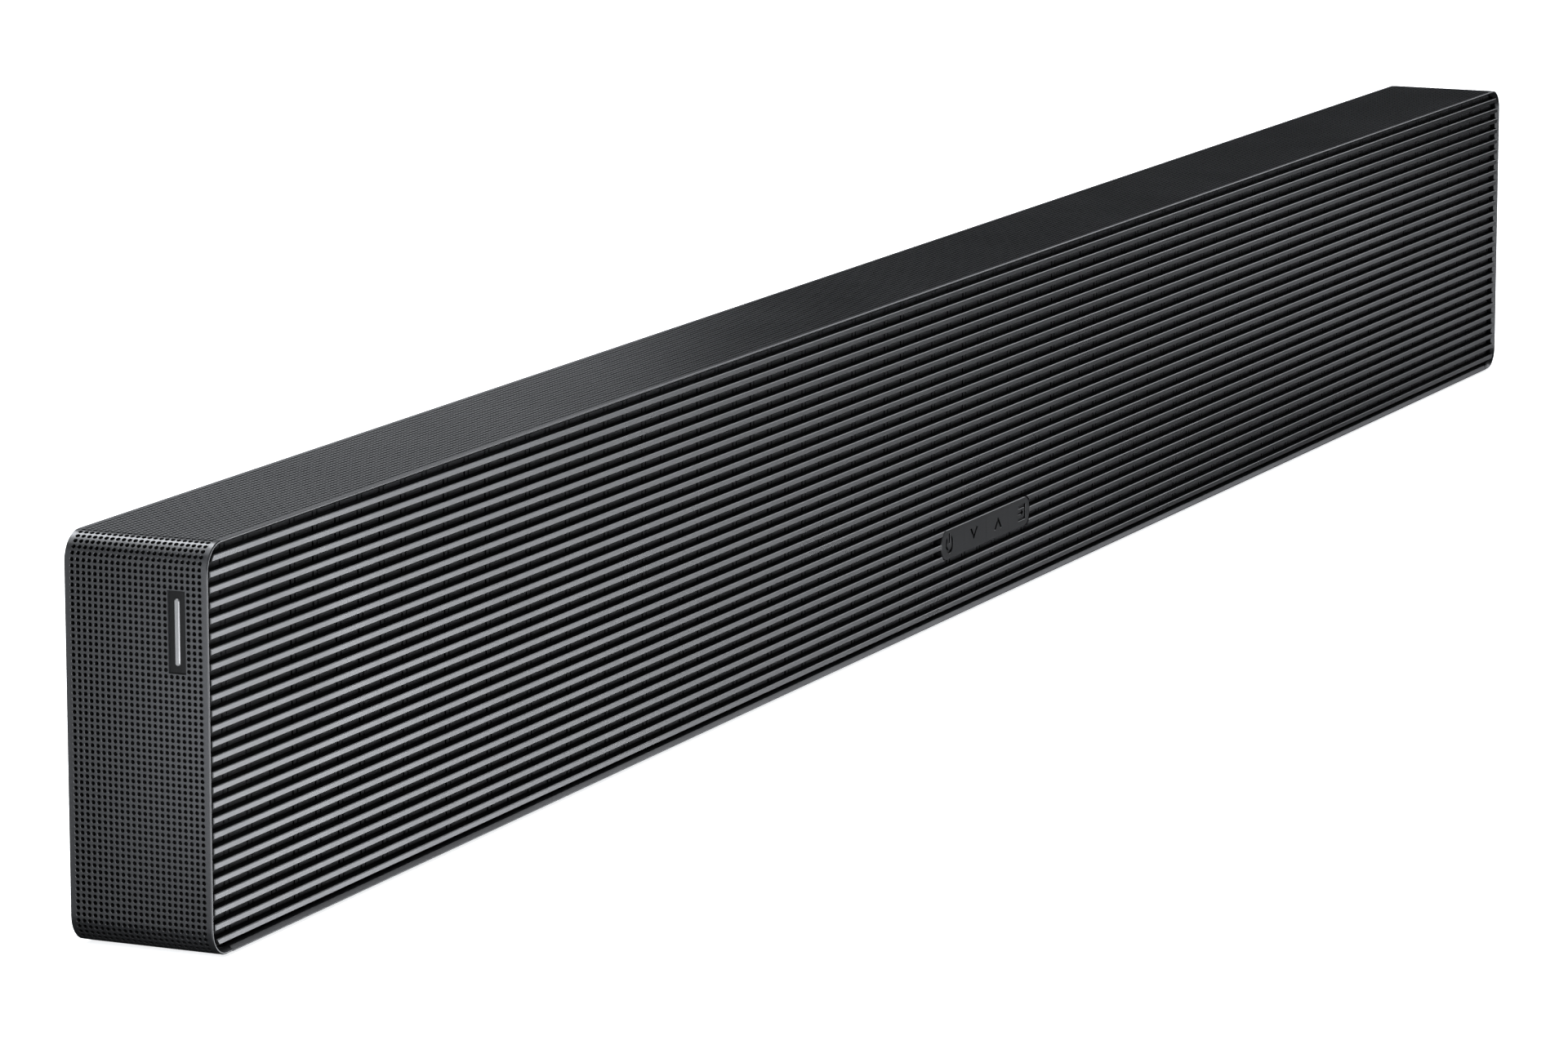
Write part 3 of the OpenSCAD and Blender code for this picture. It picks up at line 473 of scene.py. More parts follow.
MATERIALS = {
    "painted_sheet": speckled_paint(
        "painted_sheet", grey(0.014, 0.02), grey(0.036, 0.02), 0.31, 0.16 * MM, 0.5 * MM, metallic=0.0),
    "cover_paint": speckled_paint(
        "cover_paint", grey(0.018, 0.02), grey(0.036, 0.02), 0.38, 0.16 * MM, 0.5 * MM, metallic=0.0),
    "slat_paint": speckled_paint(
        "slat_paint", grey(0.022, 0.01), grey(0.042, 0.01), 0.285, 0.2 * MM, 0.6 * MM, metallic=0.2),
    "badge_finish": speckled_paint(
        "badge_finish", grey(0.22), grey(0.32), 0.3, 0.15 * MM, 0.4 * MM, metallic=0.7),
    "cover_plastic": moulded_plastic("cover_plastic", grey(0.012), grey(0.026), 0.5),
    "frame_plastic": ribbed_plastic("frame_plastic", grey(0.072, 0.01), grey(0.1, 0.01), 0.7),
    "key_plastic": moulded_plastic(
        "key_plastic", grey(0.014, 0.015), grey(0.021, 0.015), 0.56, grain=0.15 * MM, relief=0.006 * MM,
        specular=0.2),
    "switch_plastic": moulded_plastic("switch_plastic", grey(0.008), grey(0.018), 0.45),
    "plunger_plastic": moulded_plastic("plunger_plastic", (0.42, 0.40, 0.35), (0.58, 0.55, 0.48), 0.4),
    "inner_plastic": moulded_plastic("inner_plastic", grey(0.010), grey(0.022), 0.6, grain=0.4 * MM),
    "socket_plastic": moulded_plastic("socket_plastic", grey(0.007), grey(0.016), 0.4),
    "liner_fabric": woven("liner_fabric", grey(0.002), grey(0.010), 0.5 * MM, sheen=0.0),
    "acoustic_mesh": woven("acoustic_mesh", grey(0.055, 0.01), grey(0.112, 0.01), 0.45 * MM),
    "dome_silk": woven("dome_silk", (0.03, 0.027, 0.022), (0.07, 0.063, 0.052), 0.35 * MM),
    "basket_steel": speckled_paint(
        "basket_steel", grey(0.014), grey(0.03), 0.38, 0.3 * MM, 0.4 * MM, metallic=0.2),
    "heatsink_metal": worked_metal("heatsink_metal", grey(0.42), grey(0.66), 0.35, (0.2, 1, 3)),
    "socket_metal": worked_metal("socket_metal", grey(0.4), grey(0.62), 0.3, (3, 1, 0.3)),
    "shield_metal": worked_metal("shield_metal", grey(0.45), grey(0.7), 0.28, (0.3, 1, 3)),
    "screw_steel": worked_metal("screw_steel", grey(0.16), grey(0.34), 0.34, (1, 3, 1)),
    "brass": worked_metal("brass", (0.42, 0.27, 0.08), (0.75, 0.53, 0.2), 0.3, (1, 3, 1)),
    "surround_rubber": soft_rubber("surround_rubber", grey(0.009), grey(0.022), 0.6),
    "foot_rubber": soft_rubber("foot_rubber", grey(0.010), grey(0.024), 0.8),
    "lead_sleeve": soft_rubber("lead_sleeve", (0.20, 0.012, 0.01), (0.34, 0.03, 0.02), 0.45),
    "cone_paper": pressed_paper("cone_paper", grey(0.010), grey(0.035)),
    "circuit_board": circuit_board("circuit_board"),
    "ferrite": ferrite_ceramic("ferrite"),
    "transformer_tape": wound_tape("transformer_tape"),
    "capacitor_sleeve": printed_sleeve(
        "capacitor_sleeve", (0.01, 0.02, 0.05), (0.02, 0.04, 0.09), (0.5, 0.52, 0.55)),
}
# Finishes that pieces take beside their own: near-black painted shade on the sheet's hole walls and on the
# slats' tops and undersides, near-black painted shade in the keys' signs and the badge plate's own
# near-black, and a shinier plastic on the keys' edges whose lighter colour is a painted highlight
PAINTED_SHADE = moulded_plastic("painted_shade", grey(0.002), grey(0.006), 0.6, specular=0.2)
# Near-black painted shade for the walls and floors of the keys' signs, and the badge plate's own near-black
SIGN_SHADE_AND_PLATE_PAINT = moulded_plastic("sign_shade_and_plate_paint", grey(0.001), grey(0.003), 0.6, specular=0.2)
# Shinier plastic for the keys' edges, its lighter colour a painted highlight
KEY_EDGE_HIGHLIGHT_PLASTIC = moulded_plastic(
    "key_edge_highlight_plastic", grey(0.03), grey(0.045), 0.32, grain=0.15 * MM, relief=0.004 * MM, specular=0.6)

# Places of a key's second and third materials: painted shade in its sign, and on its edges a shinier
# plastic whose lighter colour is a painted highlight
DARK, POLISHED_HIGHLIGHT = 1, 2


def dress_cad_nodes():
    """Gives every CAD node the finish that the record names for it."""
    for part in frame["record"]["subparts"]:
        for slot in frame["nodes"][part["node"]].material_slots:
            slot.material = MATERIALS[part["material_slot"]]


# ---------------------------------------------------------------- perforated sheet


def outline_points(u, inset):
    """Points (x, z) at distances u along the sheet's outer face, moved inwards by inset."""
    x = np.zeros_like(u)
    z = np.zeros_like(u)
    point = np.array([-seam_x, shell_low.z])
    heading = math.pi
    start = 0.0
    for length, turn in STRETCHES:
        inside = (u >= start - 1e-9) & (u <= start + length + 1e-9)
        along = u[inside] - start
        outward = np.array([-math.sin(heading), math.cos(heading)])
        if turn:
            radius = -length / turn
            centre = point - radius * outward
            angles = heading + turn * along / length
            x[inside] = centre[0] - (radius - inset[inside]) * np.sin(angles)
            z[inside] = centre[1] + (radius - inset[inside]) * np.cos(angles)
            heading += turn
            point = centre + radius * np.array([-math.sin(heading), math.cos(heading)])
        else:
            direction = np.array([math.cos(heading), math.sin(heading)])
            x[inside] = point[0] + along * direction[0] - inset[inside] * outward[0]
            z[inside] = point[1] + along * direction[1] - inset[inside] * outward[1]
            point = point + length * direction
        start += length
    return x, z


def sheet_points(u, v, inset):
    """Points in space from distances along the outline, back from the front edge, and into the sheet."""
    u, v, inset = (a.ravel() for a in np.broadcast_arrays(u, v, inset))
    x, z = outline_points(u, inset)
    return np.stack([x, front_y + v, z], axis=1)


def sheet_rows():
    """Edges of the rows of cells along the outline, and the index where each stretch begins."""
    edges = [0.0]
    starts = []
    for length, _ in STRETCHES:
        plain = length == return_length
        count = 1 if plain else round(length / HOLE_PITCH)
        starts.append(len(edges) - 1)
        edges += [edges[-1] + length * (k + 1) / count for k in range(count)]
    return np.array(edges), starts + [len(edges) - 1]


def sheet_profile():
    """Section across the sheet as (back from the front edge, into the sheet), once round."""
    first = HOLE_MARGIN - column_pitch / 2
    columns = [first + k * column_pitch for k in range(HOLE_COLUMNS + 1)]
    outer = [(0, RIM_EDGE), (RIM_EDGE, 0)] + [(v, 0) for v in columns]
    back = [(depth - BACK_EDGE, 0), (depth, BACK_EDGE)]
    back += [(depth, SHEET_T - BACK_EDGE), (depth - BACK_EDGE, SHEET_T)]
    inner = [(v, SHEET_T) for v in reversed(columns)] + [(RIM_CHAMFER, SHEET_T), (0, RIM_LAND)]
    return np.array(outer + back + inner), 2, 2 + len(columns) + len(back)


def sheet_piece(name, edges, perforated, sides, radius, hole_edge, window=None):
    """A closed stretch of the sheet with a real hole in the middle of every cell.

    perforated marks the rows that have holes. window gives the rows and columns of cells that are left
    out for the badge.
    """
    profile, outer_at, inner_at = sheet_profile()
    size = len(profile)
    rows = len(edges) - 1
    grid = np.arange((rows + 1) * size).reshape(rows + 1, size)
    outer = grid[:, outer_at:outer_at + HOLE_COLUMNS + 1]
    inner = grid[:, inner_at:inner_at + HOLE_COLUMNS + 1][:, ::-1]
    points = [sheet_points(edges[:, None], profile[None, :, 0], profile[None, :, 1])]
    faces = []

    # Plain strips along the rims, from one row's edge to the next
    column_sides = set(range(outer_at, outer_at + HOLE_COLUMNS))
    column_sides |= set(range(inner_at, inner_at + HOLE_COLUMNS))
    strips = np.array([m for m in range(size) if m not in column_sides])
    after = (strips + 1) % size
    near, far = grid[:-1], grid[1:]
    faces.append(np.stack(
        [near[:, strips], far[:, strips], far[:, after], near[:, after]], axis=2).reshape(-1, 4))

    # Which cells are plain, pierced, or left out for the window
    kept = np.ones((rows, HOLE_COLUMNS), bool)
    if window:
        (low_row, high_row), (low_column, high_column) = window
        kept[low_row:high_row, low_column:high_column] = False
        border = [(i, low_column) for i in range(low_row, high_row)]
        border += [(high_row, j) for j in range(low_column, high_column)]
        border += [(i, high_column) for i in range(high_row, low_row, -1)]
        border += [(low_row, j) for j in range(high_column, low_column, -1)]
        ring_out = np.array([outer[at] for at in reversed(border)])
        ring_in = np.array([inner[at] for at in reversed(border)])
        faces.append(walls(ring_out[None, :], ring_in[None, :]))
    pierced = kept & perforated[:, None]
    i, j = np.nonzero(kept & ~pierced)
    faces.append(np.stack([outer[i, j], outer[i + 1, j], outer[i + 1, j + 1], outer[i, j + 1]], axis=1))
    faces.append(np.stack([inner[i, j], inner[i, j + 1], inner[i + 1, j + 1], inner[i + 1, j]], axis=1))

    # Rings of points round each hole, from the outer face to the inner one
    i, j = np.nonzero(pierced)
    angles = np.radians(-45 + 360 / sides * np.arange(sides))
    centre_u = (edges[i] + edges[i + 1])[:, None] / 2
    columns_v = profile[outer_at:outer_at + HOLE_COLUMNS + 1, 0]
    centre_v = (columns_v[j] + columns_v[j + 1])[:, None] / 2
    levels = [(radius + hole_edge, 0), (radius, hole_edge)] if hole_edge else [(radius, 0)]
    levels.append((radius, SHEET_T))
    rings = []
    count = grid.size
    for ring_radius, inset in levels:
        u = centre_u + ring_radius * np.cos(angles)
        v = centre_v + ring_radius * np.sin(angles)
        points.append(sheet_points(u, v, np.array(inset)))
        rings.append(count + np.arange(u.size).reshape(u.shape))
        count += u.size
    faces += [walls(upper, lower) for upper, lower in zip(rings[:-2], rings[1:-1])]
    # The holes' walls take the second material, a near-black painted shade
    hole_walls = [walls(rings[-2], rings[-1])]

    # The sheet round each hole, in four parts that meet on the cell's diagonals
    quarter = sides // 4
    for side in range(4):
        span = [k % sides for k in range((side + 1) * quarter, side * quarter - 1, -1)]
        a_row, a_column = ((1, 0), (1, 1), (0, 1), (0, 0))[side]
        b_row, b_column = ((1, 1), (0, 1), (0, 0), (1, 0))[side]
        faces.append(np.column_stack(
            [outer[i + a_row, j + a_column], outer[i + b_row, j + b_column], rings[0][:, span]]))
        faces.append(np.column_stack(
            [inner[i + a_row, j + a_column], inner[i + b_row, j + b_column], rings[-1][:, span]])[:, ::-1])

    # The two ends of the stretch
    for row, order in ((0, 1), (rows, -1)):
        columns = np.arange(HOLE_COLUMNS)
        faces.append(np.stack(
            [outer[row, columns], outer[row, columns + 1], inner[row, columns + 1], inner[row, columns]],
            axis=1)[:, ::order])
        front_cap = np.concatenate([grid[row, inner_at + HOLE_COLUMNS:], grid[row, :outer_at + 1]])
        back_cap = grid[row, outer_at + HOLE_COLUMNS:inner_at + 1]
        faces += [front_cap[None, ::order], back_cap[None, ::order]]
    return mesh_object(name, np.concatenate(points), faces, hole_walls)


def walls(upper, lower):
    """Quads that join two sets of closed rings, point by point."""
    return np.stack(
        [upper, np.roll(upper, -1, axis=1), np.roll(lower, -1, axis=1), lower], axis=2).reshape(-1, 4)


def make_sheet():
    """The wrapped sheet in stretches: an end with its bends on each side, and the top between them."""
    edges, starts = sheet_rows()
    perforated = np.ones(len(edges) - 1, bool)
    perforated[[0, -1]] = False
    top_start, top_end = starts[4], starts[5]
    badge_low, badge_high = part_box("badge")
    rows = round_rows(badge_low.z, badge_high.z, starts[2])
    columns = round_columns(badge_low.y, badge_high.y)
    pieces = [
        sheet_piece("shell_left_end", edges[:top_start + 1], perforated[:top_start],
                    END_HOLE_SIDES, HOLE_R, HOLE_EDGE, window=(rows, columns)),
        sheet_piece("shell_right_end", edges[top_end:], perforated[top_end:],
                    END_HOLE_SIDES, HOLE_R, HOLE_EDGE),
    ]
    cuts = np.linspace(top_start, top_end, TOP_PIECES + 1).round().astype(int)
    for number, (low, high) in enumerate(zip(cuts, cuts[1:]), 1):
        pieces.append(sheet_piece(f"shell_top_{number}", edges[low:high + 1], perforated[low:high],
                                  TOP_HOLE_SIDES, TOP_HOLE_R, 0))
    for piece in pieces:
        finished(piece, "cabinet", "painted_sheet", "perforated_shell")
        # Near-black painted shade on the walls of the holes
        piece.data.materials.append(PAINTED_SHADE)


def round_rows(low_z, high_z, side_row):
    """The rows of the left end's cells between two heights. side_row is the first one above the bend."""
    side_z = shell_low.z + BEND_R
    return tuple(side_row + round((z - side_z) / HOLE_PITCH) for z in (low_z, high_z))


def round_columns(low_y, high_y):
    """The columns of cells between two depths."""
    first_y = front_y + HOLE_MARGIN - column_pitch / 2
    return tuple(round((y - first_y) / column_pitch) for y in (low_y, high_y))


# ---------------------------------------------------------------- slats


def loft(rings):
    """Points and faces of a solid through rings of points, closed at both ends."""
    size = len(rings[0])
    index = np.arange(len(rings) * size).reshape(len(rings), size)
    groups = [index[:1], index[-1:, ::-1]]
    for near, far in zip(index, index[1:]):
        groups.append(np.stack([near, far, np.roll(far, -1), np.roll(near, -1)], axis=1))
    return np.concatenate(rings), groups


def edge_levels(edge):
    """Bevelled edge as (inset, depth) pairs, from the face to the side."""
    return [(edge, 0), (0, edge)]


def joined_solids(name, solids):
    """One piece from several lofted solids."""
    points = []
    groups = []
    count = 0
    for solid_points, solid_groups in solids:
        points.append(solid_points)
        groups += [group + count for group in solid_groups]
        count += len(solid_points)
    return mesh_object(name, np.concatenate(points), groups)


def make_slats():
    """All the slats as one piece. Those beside the keys are in two lengths that follow the pill's ends."""
    low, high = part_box("grille_slats")
    first_z = high.z - SLAT_H / 2
    pitch = (high.z - low.z - SLAT_H) / (SLAT_COUNT - 1)
    key_z = first_z - (KEY_SLAT - 1) * pitch
    arc_r = high.x - straight_x
    arc_z = (low.z + high.z) / 2
    arc_up = (shell_high.z - shell_low.z) / 2 - BEND_R
    pill_x = -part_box("power_key")[0].x - KEY_LIP + KEY_CLEAR
    pill_r = KEY_CORNER_R + KEY_CLEAR
    pill_up = key_half_height() + KEY_CLEAR - pill_r

    def cabinet_end(z):
        """Half-length of a slat's edge at a height, inside the cabinet's rounded corners."""
        rise = max(0.0, abs(z - arc_z) - arc_up)
        return straight_x + math.sqrt(arc_r**2 - rise**2)

    def pill_end(z):
        """Half-width of the keys' opening at a height."""
        rise = max(0.0, abs(z - key_z) - pill_up)
        return pill_x - pill_r + math.sqrt(max(0.0, pill_r**2 - rise**2))

    def slat(z, left, right, levels):
        heights = np.linspace(z - SLAT_H / 2, z + SLAT_H / 2, levels)
        outline = [(right(h), h) for h in heights] + [(left(h), h) for h in heights[::-1]]
        rings = []
        for inset, back in edge_levels(SLAT_EDGE) + [(0, high.y - low.y)]:
            ring = inset_outline(outline, inset)
            rings.append(np.column_stack([ring[:, 0], np.full(len(ring), low.y + back), ring[:, 1]]))
        return loft(rings)

    solids = []
    for number in range(SLAT_COUNT):
        z = first_z - number * pitch
        left, right = lambda h: -cabinet_end(h), cabinet_end
        if abs(number + 1 - KEY_SLAT) < 2:
            solids.append(slat(z, left, lambda h: -pill_end(h), END_LEVELS))
            solids.append(slat(z, pill_end, right, END_LEVELS))
        else:
            levels = END_LEVELS if number in (0, SLAT_COUNT - 1) else 2
            solids.append(slat(z, left, right, levels))
    piece = finished(joined_solids("slats", solids), "cabinet", "slat_paint", "grille_slats")
    piece.data.materials.append(PAINTED_SHADE)

    # The slats' tops and undersides, which face up or down and lie in the shade of the gaps, take the
    # near-black painted shade
    for face in piece.data.polygons:
        face.material_index = int(abs(face.normal.z) > 0.9)


# ---------------------------------------------------------------- keys


def key_half_height():
    """Half the height of a key's face, without the lip behind it."""
    low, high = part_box("volume_up_key")
    return (high.z - low.z) / 2 - KEY_LIP


def power_sign():
    """Open ring and a stroke through its gap."""
    radius = SIGN_H / 2
    inner = radius - SIGN_LINE
    gap = 1.15 * SIGN_LINE
    turn = math.degrees(math.asin(gap / radius))
    inner_turn = math.degrees(math.asin(gap / inner))
    ring = arc(0, 0, radius, 90 + turn, 450 - turn, 28)
    ring += arc(0, 0, inner, 450 - inner_turn, 90 + inner_turn, 24)
    half = SIGN_LINE / 2
    top = radius + 0.6 * MM
    return [ring, [(-half, 0.2 * MM), (half, 0.2 * MM), (half, top), (-half, top)]]


def chevron_sign(up):
    """Arrowhead that points up when up is 1 and down when it is -1."""
    half = 0.53 * SIGN_H
    rise = 0.65 * SIGN_H
    drop = 1.35 * SIGN_LINE
    foot = drop * half / rise
    points = [(-half, 0), (foot - half, 0), (0, rise - drop), (half - foot, 0), (half, 0), (0, rise)]
    return [[(x, up * (y - rise / 2)) for x, y in points[::up]]]


def source_sign():
    """Frame open on its left, with an arrow that points into it."""
    line = SIGN_LINE
    half_w = 0.52 * SIGN_H
    half_h = 0.43 * SIGN_H
    hook = 0.55 * half_h
    left, right = -half_w, half_w
    frame_loop = [
        (left, hook), (left + line, hook), (left + line, half_h - line), (right - line, half_h - line),
        (right - line, line - half_h), (left + line, line - half_h), (left + line, -hook), (left, -hook),
        (left, -half_h), (right, -half_h), (right, half_h), (left, half_h)]
    shaft = 0.4 * line
    start = left - 0.2 * MM
    neck = -0.5 * line
    arrow = [
        (start, -shaft), (neck, -shaft), (neck, -line), (line, 0),
        (neck, line), (neck, shaft), (start, shaft)]
    return [frame_loop, arrow]


def key_outline(low_x, high_x, mid_z, half_h, round_left, round_right):
    """Outline of one key, counter-clockwise, and the inset of each of its sides."""
    points = []
    edges = []
    for side, x, rounded in ((1, high_x, round_right), (-1, low_x, round_left)):
        if rounded:
            centre_x = x - side * KEY_CORNER_R
            rise = half_h - KEY_CORNER_R
            turn = 0 if side > 0 else 180
            corner = arc(centre_x, mid_z - side * rise, KEY_CORNER_R, turn - 90, turn, 10)
            corner += arc(centre_x, mid_z + side * rise, KEY_CORNER_R, turn, turn + 90, 10)
            points += corner
            edges += [KEY_EDGE] * len(corner)
        else:
            points += [(x, mid_z - side * half_h), (x, mid_z + side * half_h)]
            edges += [KEY_SEAM_EDGE, KEY_EDGE]
    return points, edges


def add_ring(bm, outline, y):
    """Points of a bmesh round an XZ outline at depth y."""
    return [bm.verts.new((x, y, z)) for x, z in outline]


def join_rings(bm, near, far, material_index=0):
    """Faces between two rings of equal length."""
    for k in range(len(near)):
        bm.faces.new((near[k - 1], near[k], far[k], far[k - 1])).material_index = material_index


def add_block(bm, low, high):
    """A closed box with small chamfers on its long edges, for the hidden lip behind a key."""
    outline = [(low[0], low[2]), (high[0], low[2]), (high[0], high[2]), (low[0], high[2])]
    rings = [add_ring(bm, inset_outline(outline, LIP_CHAMFER), low[1])]
    rings.append(add_ring(bm, outline, low[1] + LIP_CHAMFER))
    rings.append(add_ring(bm, outline, high[1] - LIP_CHAMFER))
    rings.append(add_ring(bm, inset_outline(outline, LIP_CHAMFER), high[1]))
    bm.faces.new(rings[0])
    bm.faces.new(rings[-1])
    for near, far in zip(rings, rings[1:]):
        join_rings(bm, near, far)


def sunk_face(bm, border, y, loops, sink):
    """A flat face at depth y with loops sunk into it.

    Each loop has a polished chamfer whose lighter colour is a painted highlight, then walls and a floor in
    near-black painted shade.
    """
    rings = [border] + [add_ring(bm, loop, y) for loop in loops]
    corners = [v for ring in rings for v in ring]
    flat = [[Vector((v.co.x, v.co.z, 0)) for v in ring] for ring in rings]
    for triangle in tessellate_polygon(flat):
        bm.faces.new([corners[k] for k in triangle])
    for loop, ring in zip(loops, rings[1:]):
        inner = inset_outline(loop, SIGN_EDGE)
        edge = add_ring(bm, inner, y + SIGN_EDGE)
        floor = add_ring(bm, inner, y + sink)
        join_rings(bm, ring, edge, POLISHED_HIGHLIGHT)
        join_rings(bm, edge, floor, DARK)
        bm.faces.new(floor).material_index = DARK


def make_key(number, name):
    """One key: a cap with its sign, the lip that keeps it in, and a stem behind."""
    low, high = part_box(f"{name}_key")
    mid_z = (low.z + high.z) / 2
    half_h = key_half_height()
    first, last = number == 0, number == len(KEYS) - 1
    low_x = low.x + (KEY_LIP if first else -KEY_SEAM_CLOSED)
    high_x = high.x - (KEY_LIP if last else -KEY_SEAM_CLOSED)
    outline, edges = key_outline(low_x, high_x, mid_z, half_h, first, last)
    bm = bmesh.new()
    rings = [
        add_ring(bm, inset_outline(outline, np.array(edges)), low.y),
        add_ring(bm, outline, low.y + KEY_EDGE),
        add_ring(bm, outline, low.y + KEY_CAP_DEPTH)]
    # The edge chamfer takes the shinier plastic, whose lighter colour is a painted highlight
    join_rings(bm, rings[0], rings[1], POLISHED_HIGHLIGHT)
    join_rings(bm, rings[1], rings[2])
    bm.faces.new(rings[-1])
    loops = [power_sign(), chevron_sign(-1), chevron_sign(1), source_sign()][number]
    sign_x = (number - (len(KEYS) - 1) / 2) * SIGN_PITCH
    placed = [[(sign_x + x, mid_z + z) for x, z in loop] for loop in loops]
    sunk_face(bm, rings[0], low.y, placed, SIGN_DEPTH)
    lip_y = low.y + KEY_CAP_DEPTH
    add_block(bm, (low.x, lip_y, low.z), (high.x, lip_y + KEY_LIP_T, high.z))
    stem_x = (low_x + high_x) / 2
    stem = arc(stem_x, mid_z, STEM_R, 0, 337.5, 15)
    stem_rings = [add_ring(bm, stem, lip_y + KEY_LIP_T), add_ring(bm, stem, high.y)]
    join_rings(bm, *stem_rings)
    for ring in stem_rings:
        bm.faces.new(ring)
    piece = finished(bmesh_object(f"{name}_cap", bm), f"{name}_button", "key_plastic", f"{name}_key")
    # Second material: near-black painted shade on the sign's walls and floor
    piece.data.materials.append(SIGN_SHADE_AND_PLATE_PAINT)
    piece.data.materials.append(KEY_EDGE_HIGHLIGHT_PLASTIC)


# ---------------------------------------------------------------- badge


def make_badge():
    """A plate let into the left end, with a plain rounded bar standing on it."""
    low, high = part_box("badge")
    mid_y = (low.y + high.y) / 2
    mid_z = (low.z + high.z) / 2
    face_x = shell_low.x + BADGE_SINK
    plate = [(low.y, low.z), (high.y, low.z), (high.y, high.z), (low.y, high.z)]
    bar_up = BADGE_BAR_UP - BADGE_BAR_R
    bar = arc(mid_y, mid_z + bar_up, BADGE_BAR_R, 0, 180, 12)
    bar += arc(mid_y, mid_z - bar_up, BADGE_BAR_R, 180, 360, 12)
    solids = []
    for outline, start_x, end_x, edge in (
            (plate, face_x, high.x, BADGE_PLATE_EDGE),
            (bar, low.x, face_x + BADGE_BAR_ROOT, BADGE_BAR_EDGE)):
        rings = []
        for inset, back in edge_levels(edge) + [(0, end_x - start_x)]:
            ring = inset_outline(outline, inset)
            x = np.full(len(ring), start_x + back)
            rings.append(np.column_stack([x, ring[:, 0], ring[:, 1]])[::-1])
        solids.append(loft(rings))
    piece = finished(joined_solids("badge_plate", solids), "cabinet", "badge_finish", "badge")
    # Second material: the badge plate's own near-black
    piece.data.materials.append(SIGN_SHADE_AND_PLATE_PAINT)

    # The plate is dark: its sides reach further in than the bar's root, and its face is the largest one
    for face in piece.data.polygons:
        deepest = max(piece.data.vertices[k].co.x for k in face.vertices)
        if deepest > face_x + BADGE_PLATE_REACH or face.area > BADGE_PLATE_AREA:
            face.material_index = 1


# ---------------------------------------------------------------- floor, lights and camera


def make_floor():
    """A pale floor that only the camera sees, so that softboxes below it still light the bar."""
    half = FLOOR_HALF
    corners = [(-half, -half, 0), (half, -half, 0), (half, half, 0), (-half, half, 0)]
    floor = mesh_object("floor", np.array(corners), [np.array([[0, 1, 2, 3]])])
    floor.data.materials.append(studio_floor("studio_floor"))
    floor.visible_diffuse = False
    floor.visible_glossy = False
    floor.visible_shadow = False


def area_light(name, place, target, width, height, radiance):
    """A rectangular softbox of even radiance that the camera doesn't see."""
    lamp = bpy.data.lights.new(name, "AREA")
    lamp.shape = "RECTANGLE"
    lamp.size = width
    lamp.size_y = height
    lamp.energy = radiance * math.pi * width * height
    lamp.color = SOFTBOX_WHITE
    light = bpy.data.objects.new(name, lamp)
    light.location = place
    aim = Vector(target) - Vector(place)
    light.rotation_euler = aim.to_track_quat("-Z", "Y").to_euler()
    light.visible_camera = False
    bpy.context.scene.collection.objects.link(light)


def make_world():
    """A bright backdrop for the camera and a dim room for everything else."""
    world = bpy.data.worlds.new("studio")
    world.use_nodes = True
    tree = world.node_tree
    background = tree.nodes["Background"]
    rays = tree.nodes.new("ShaderNodeLightPath")
    level = tree.nodes.new("ShaderNodeMapRange")
    level.inputs["To Min"].default_value = ROOM_GLOW
    level.inputs["To Max"].default_value = 1.0
    tree.links.new(rays.outputs["Is Camera Ray"], level.inputs["Value"])
    tree.links.new(level.outputs["Result"], background.inputs["Strength"])
    background.inputs["Color"].default_value = (*COOL_WHITE, 1)
    bpy.context.scene.world = world


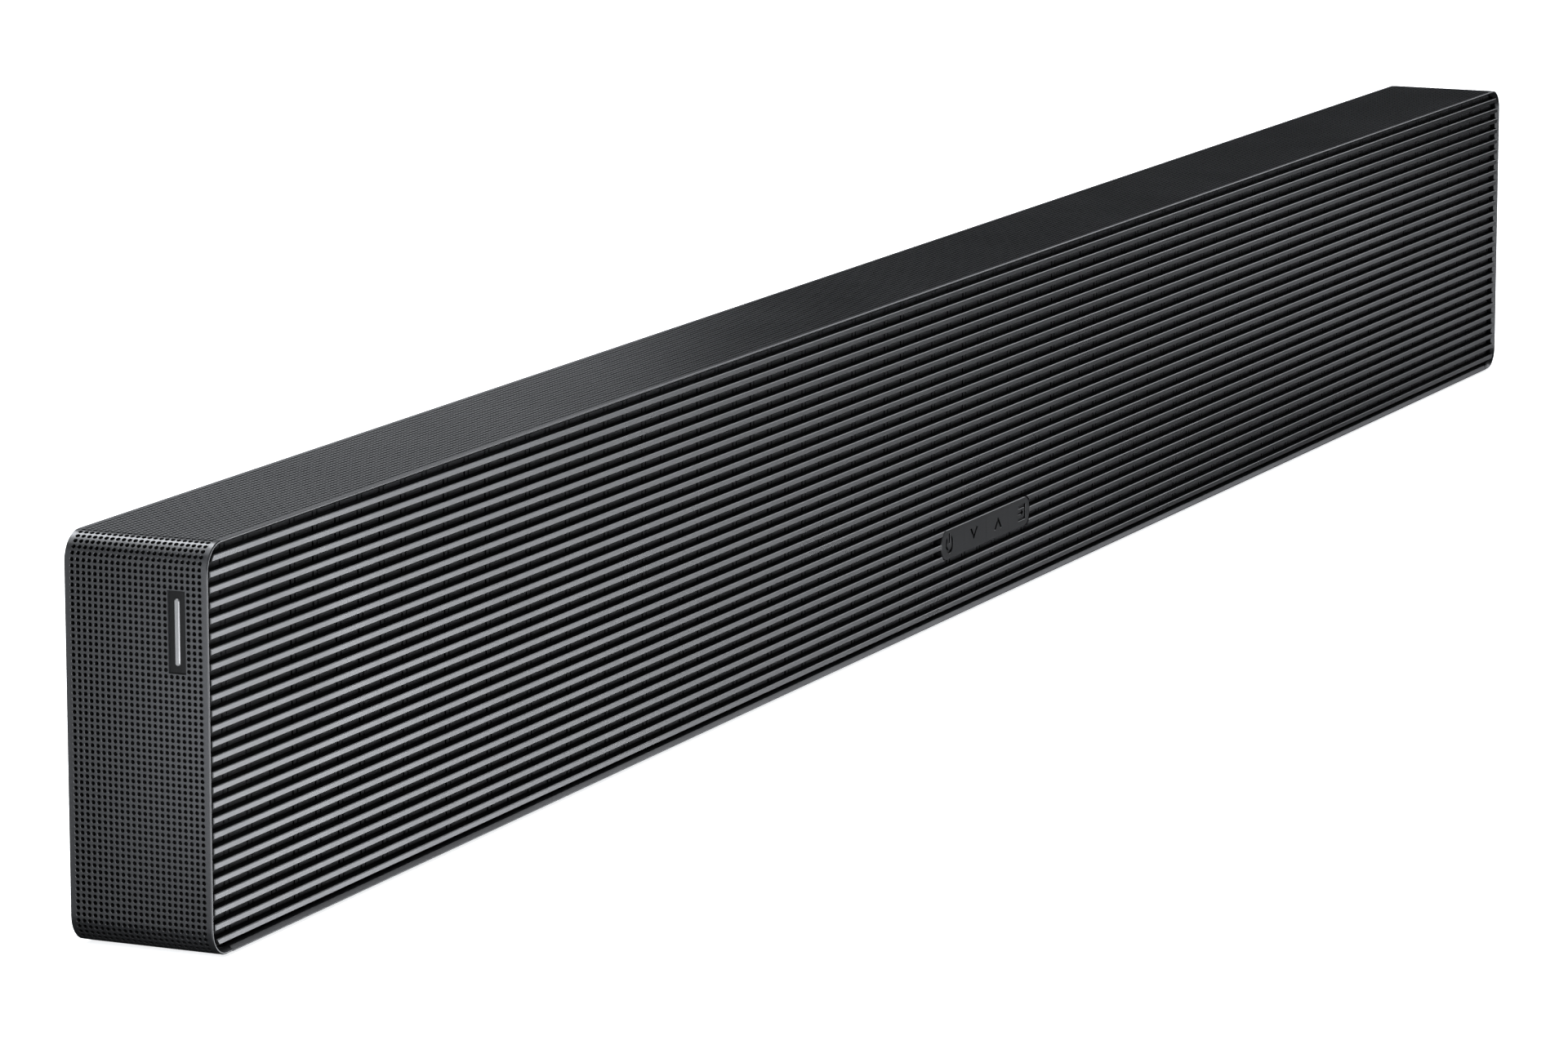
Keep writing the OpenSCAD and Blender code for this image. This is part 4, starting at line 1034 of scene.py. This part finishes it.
def make_lights():
    """Softboxes placed where the top, the slats, the end and the rims mirror them into the camera.

    The last two only light the front and the rear for views from elsewhere.
    """
    bar = (0, 0, 0.066)
    left_end = (-0.62, 0, 0.09)
    area_light("overhead_key", (0.2, 1.3, 2.1), left_end, 1.0, 0.8, 9)
    area_light("overhead_fill", (0.5, 1.0, 4.5), (0.5, 0.6, 0), 6.0, 5.0, 3.3)
    area_light("top_softbox", (2.06, 1.63, 0.81), left_end, 1.0, 0.8, 0.66)
    area_light("slat_softbox", (1.4, -1.2, -0.45), left_end, 0.5, 0.5, 9.4)
    area_light("slat_far_softbox", (1.15, -0.27, -0.045), (0.6, -0.025, 0.066), 0.12, 0.12, 1.2)
    area_light("end_softbox", (-1.9, 0.6, 0.3), left_end, 1.2, 1.6, 1.0)
    area_light("end_glow", (-0.665, -0.03, 0.08), (-0.62, -0.01, 0.08), 0.03, 0.12, 9)
    area_light("corner_softbox", (-1.65, -1.9, -0.4), left_end, 0.5, 0.5, 9)
    area_light("front_softbox", (-0.85, -1.9, -0.33), bar, 0.6, 0.4, 6.6)
    area_light("front_fill", (0.2, -2.2, 0.55), bar, 1.6, 0.6, 1.2)
    area_light("edge_softbox", (2.45, -0.55, 1.22), bar, 0.9, 0.9, 3.0)
    area_light("side_softbox", (-1.6, -1.7, -1.1), bar, 1.7, 1.1, 1.6)
    area_light("rear_softbox", (1.7, 1.8, -0.6), bar, 1.7, 1.1, 2.6)


def make_camera():
    """The view from the left and a little above, with a long lens."""
    azimuth = math.radians(-65.816)
    elevation = math.radians(10.611)
    level = math.cos(elevation)
    back = Vector((math.sin(azimuth) * level, -math.cos(azimuth) * level, math.sin(elevation)))
    data = bpy.data.cameras.new("camera")
    data.sensor_width = 36
    data.lens = 159.24
    data.clip_start = 0.05
    data.clip_end = 100
    camera = bpy.data.objects.new("camera", data)
    camera.location = (-2.4375, -1.0337, 0.5261)
    camera.rotation_mode = "QUATERNION"
    camera.rotation_quaternion = (-back).to_track_quat("-Z", "Y")
    bpy.context.scene.collection.objects.link(camera)
    bpy.context.scene.camera = camera


bpy.context.scene.view_settings.view_transform = "Standard"
make_camera()
dress_cad_nodes()
make_sheet()
make_slats()
for key_number, key_name in enumerate(KEYS):
    make_key(key_number, key_name)
make_badge()
make_floor()
make_world()
make_lights()
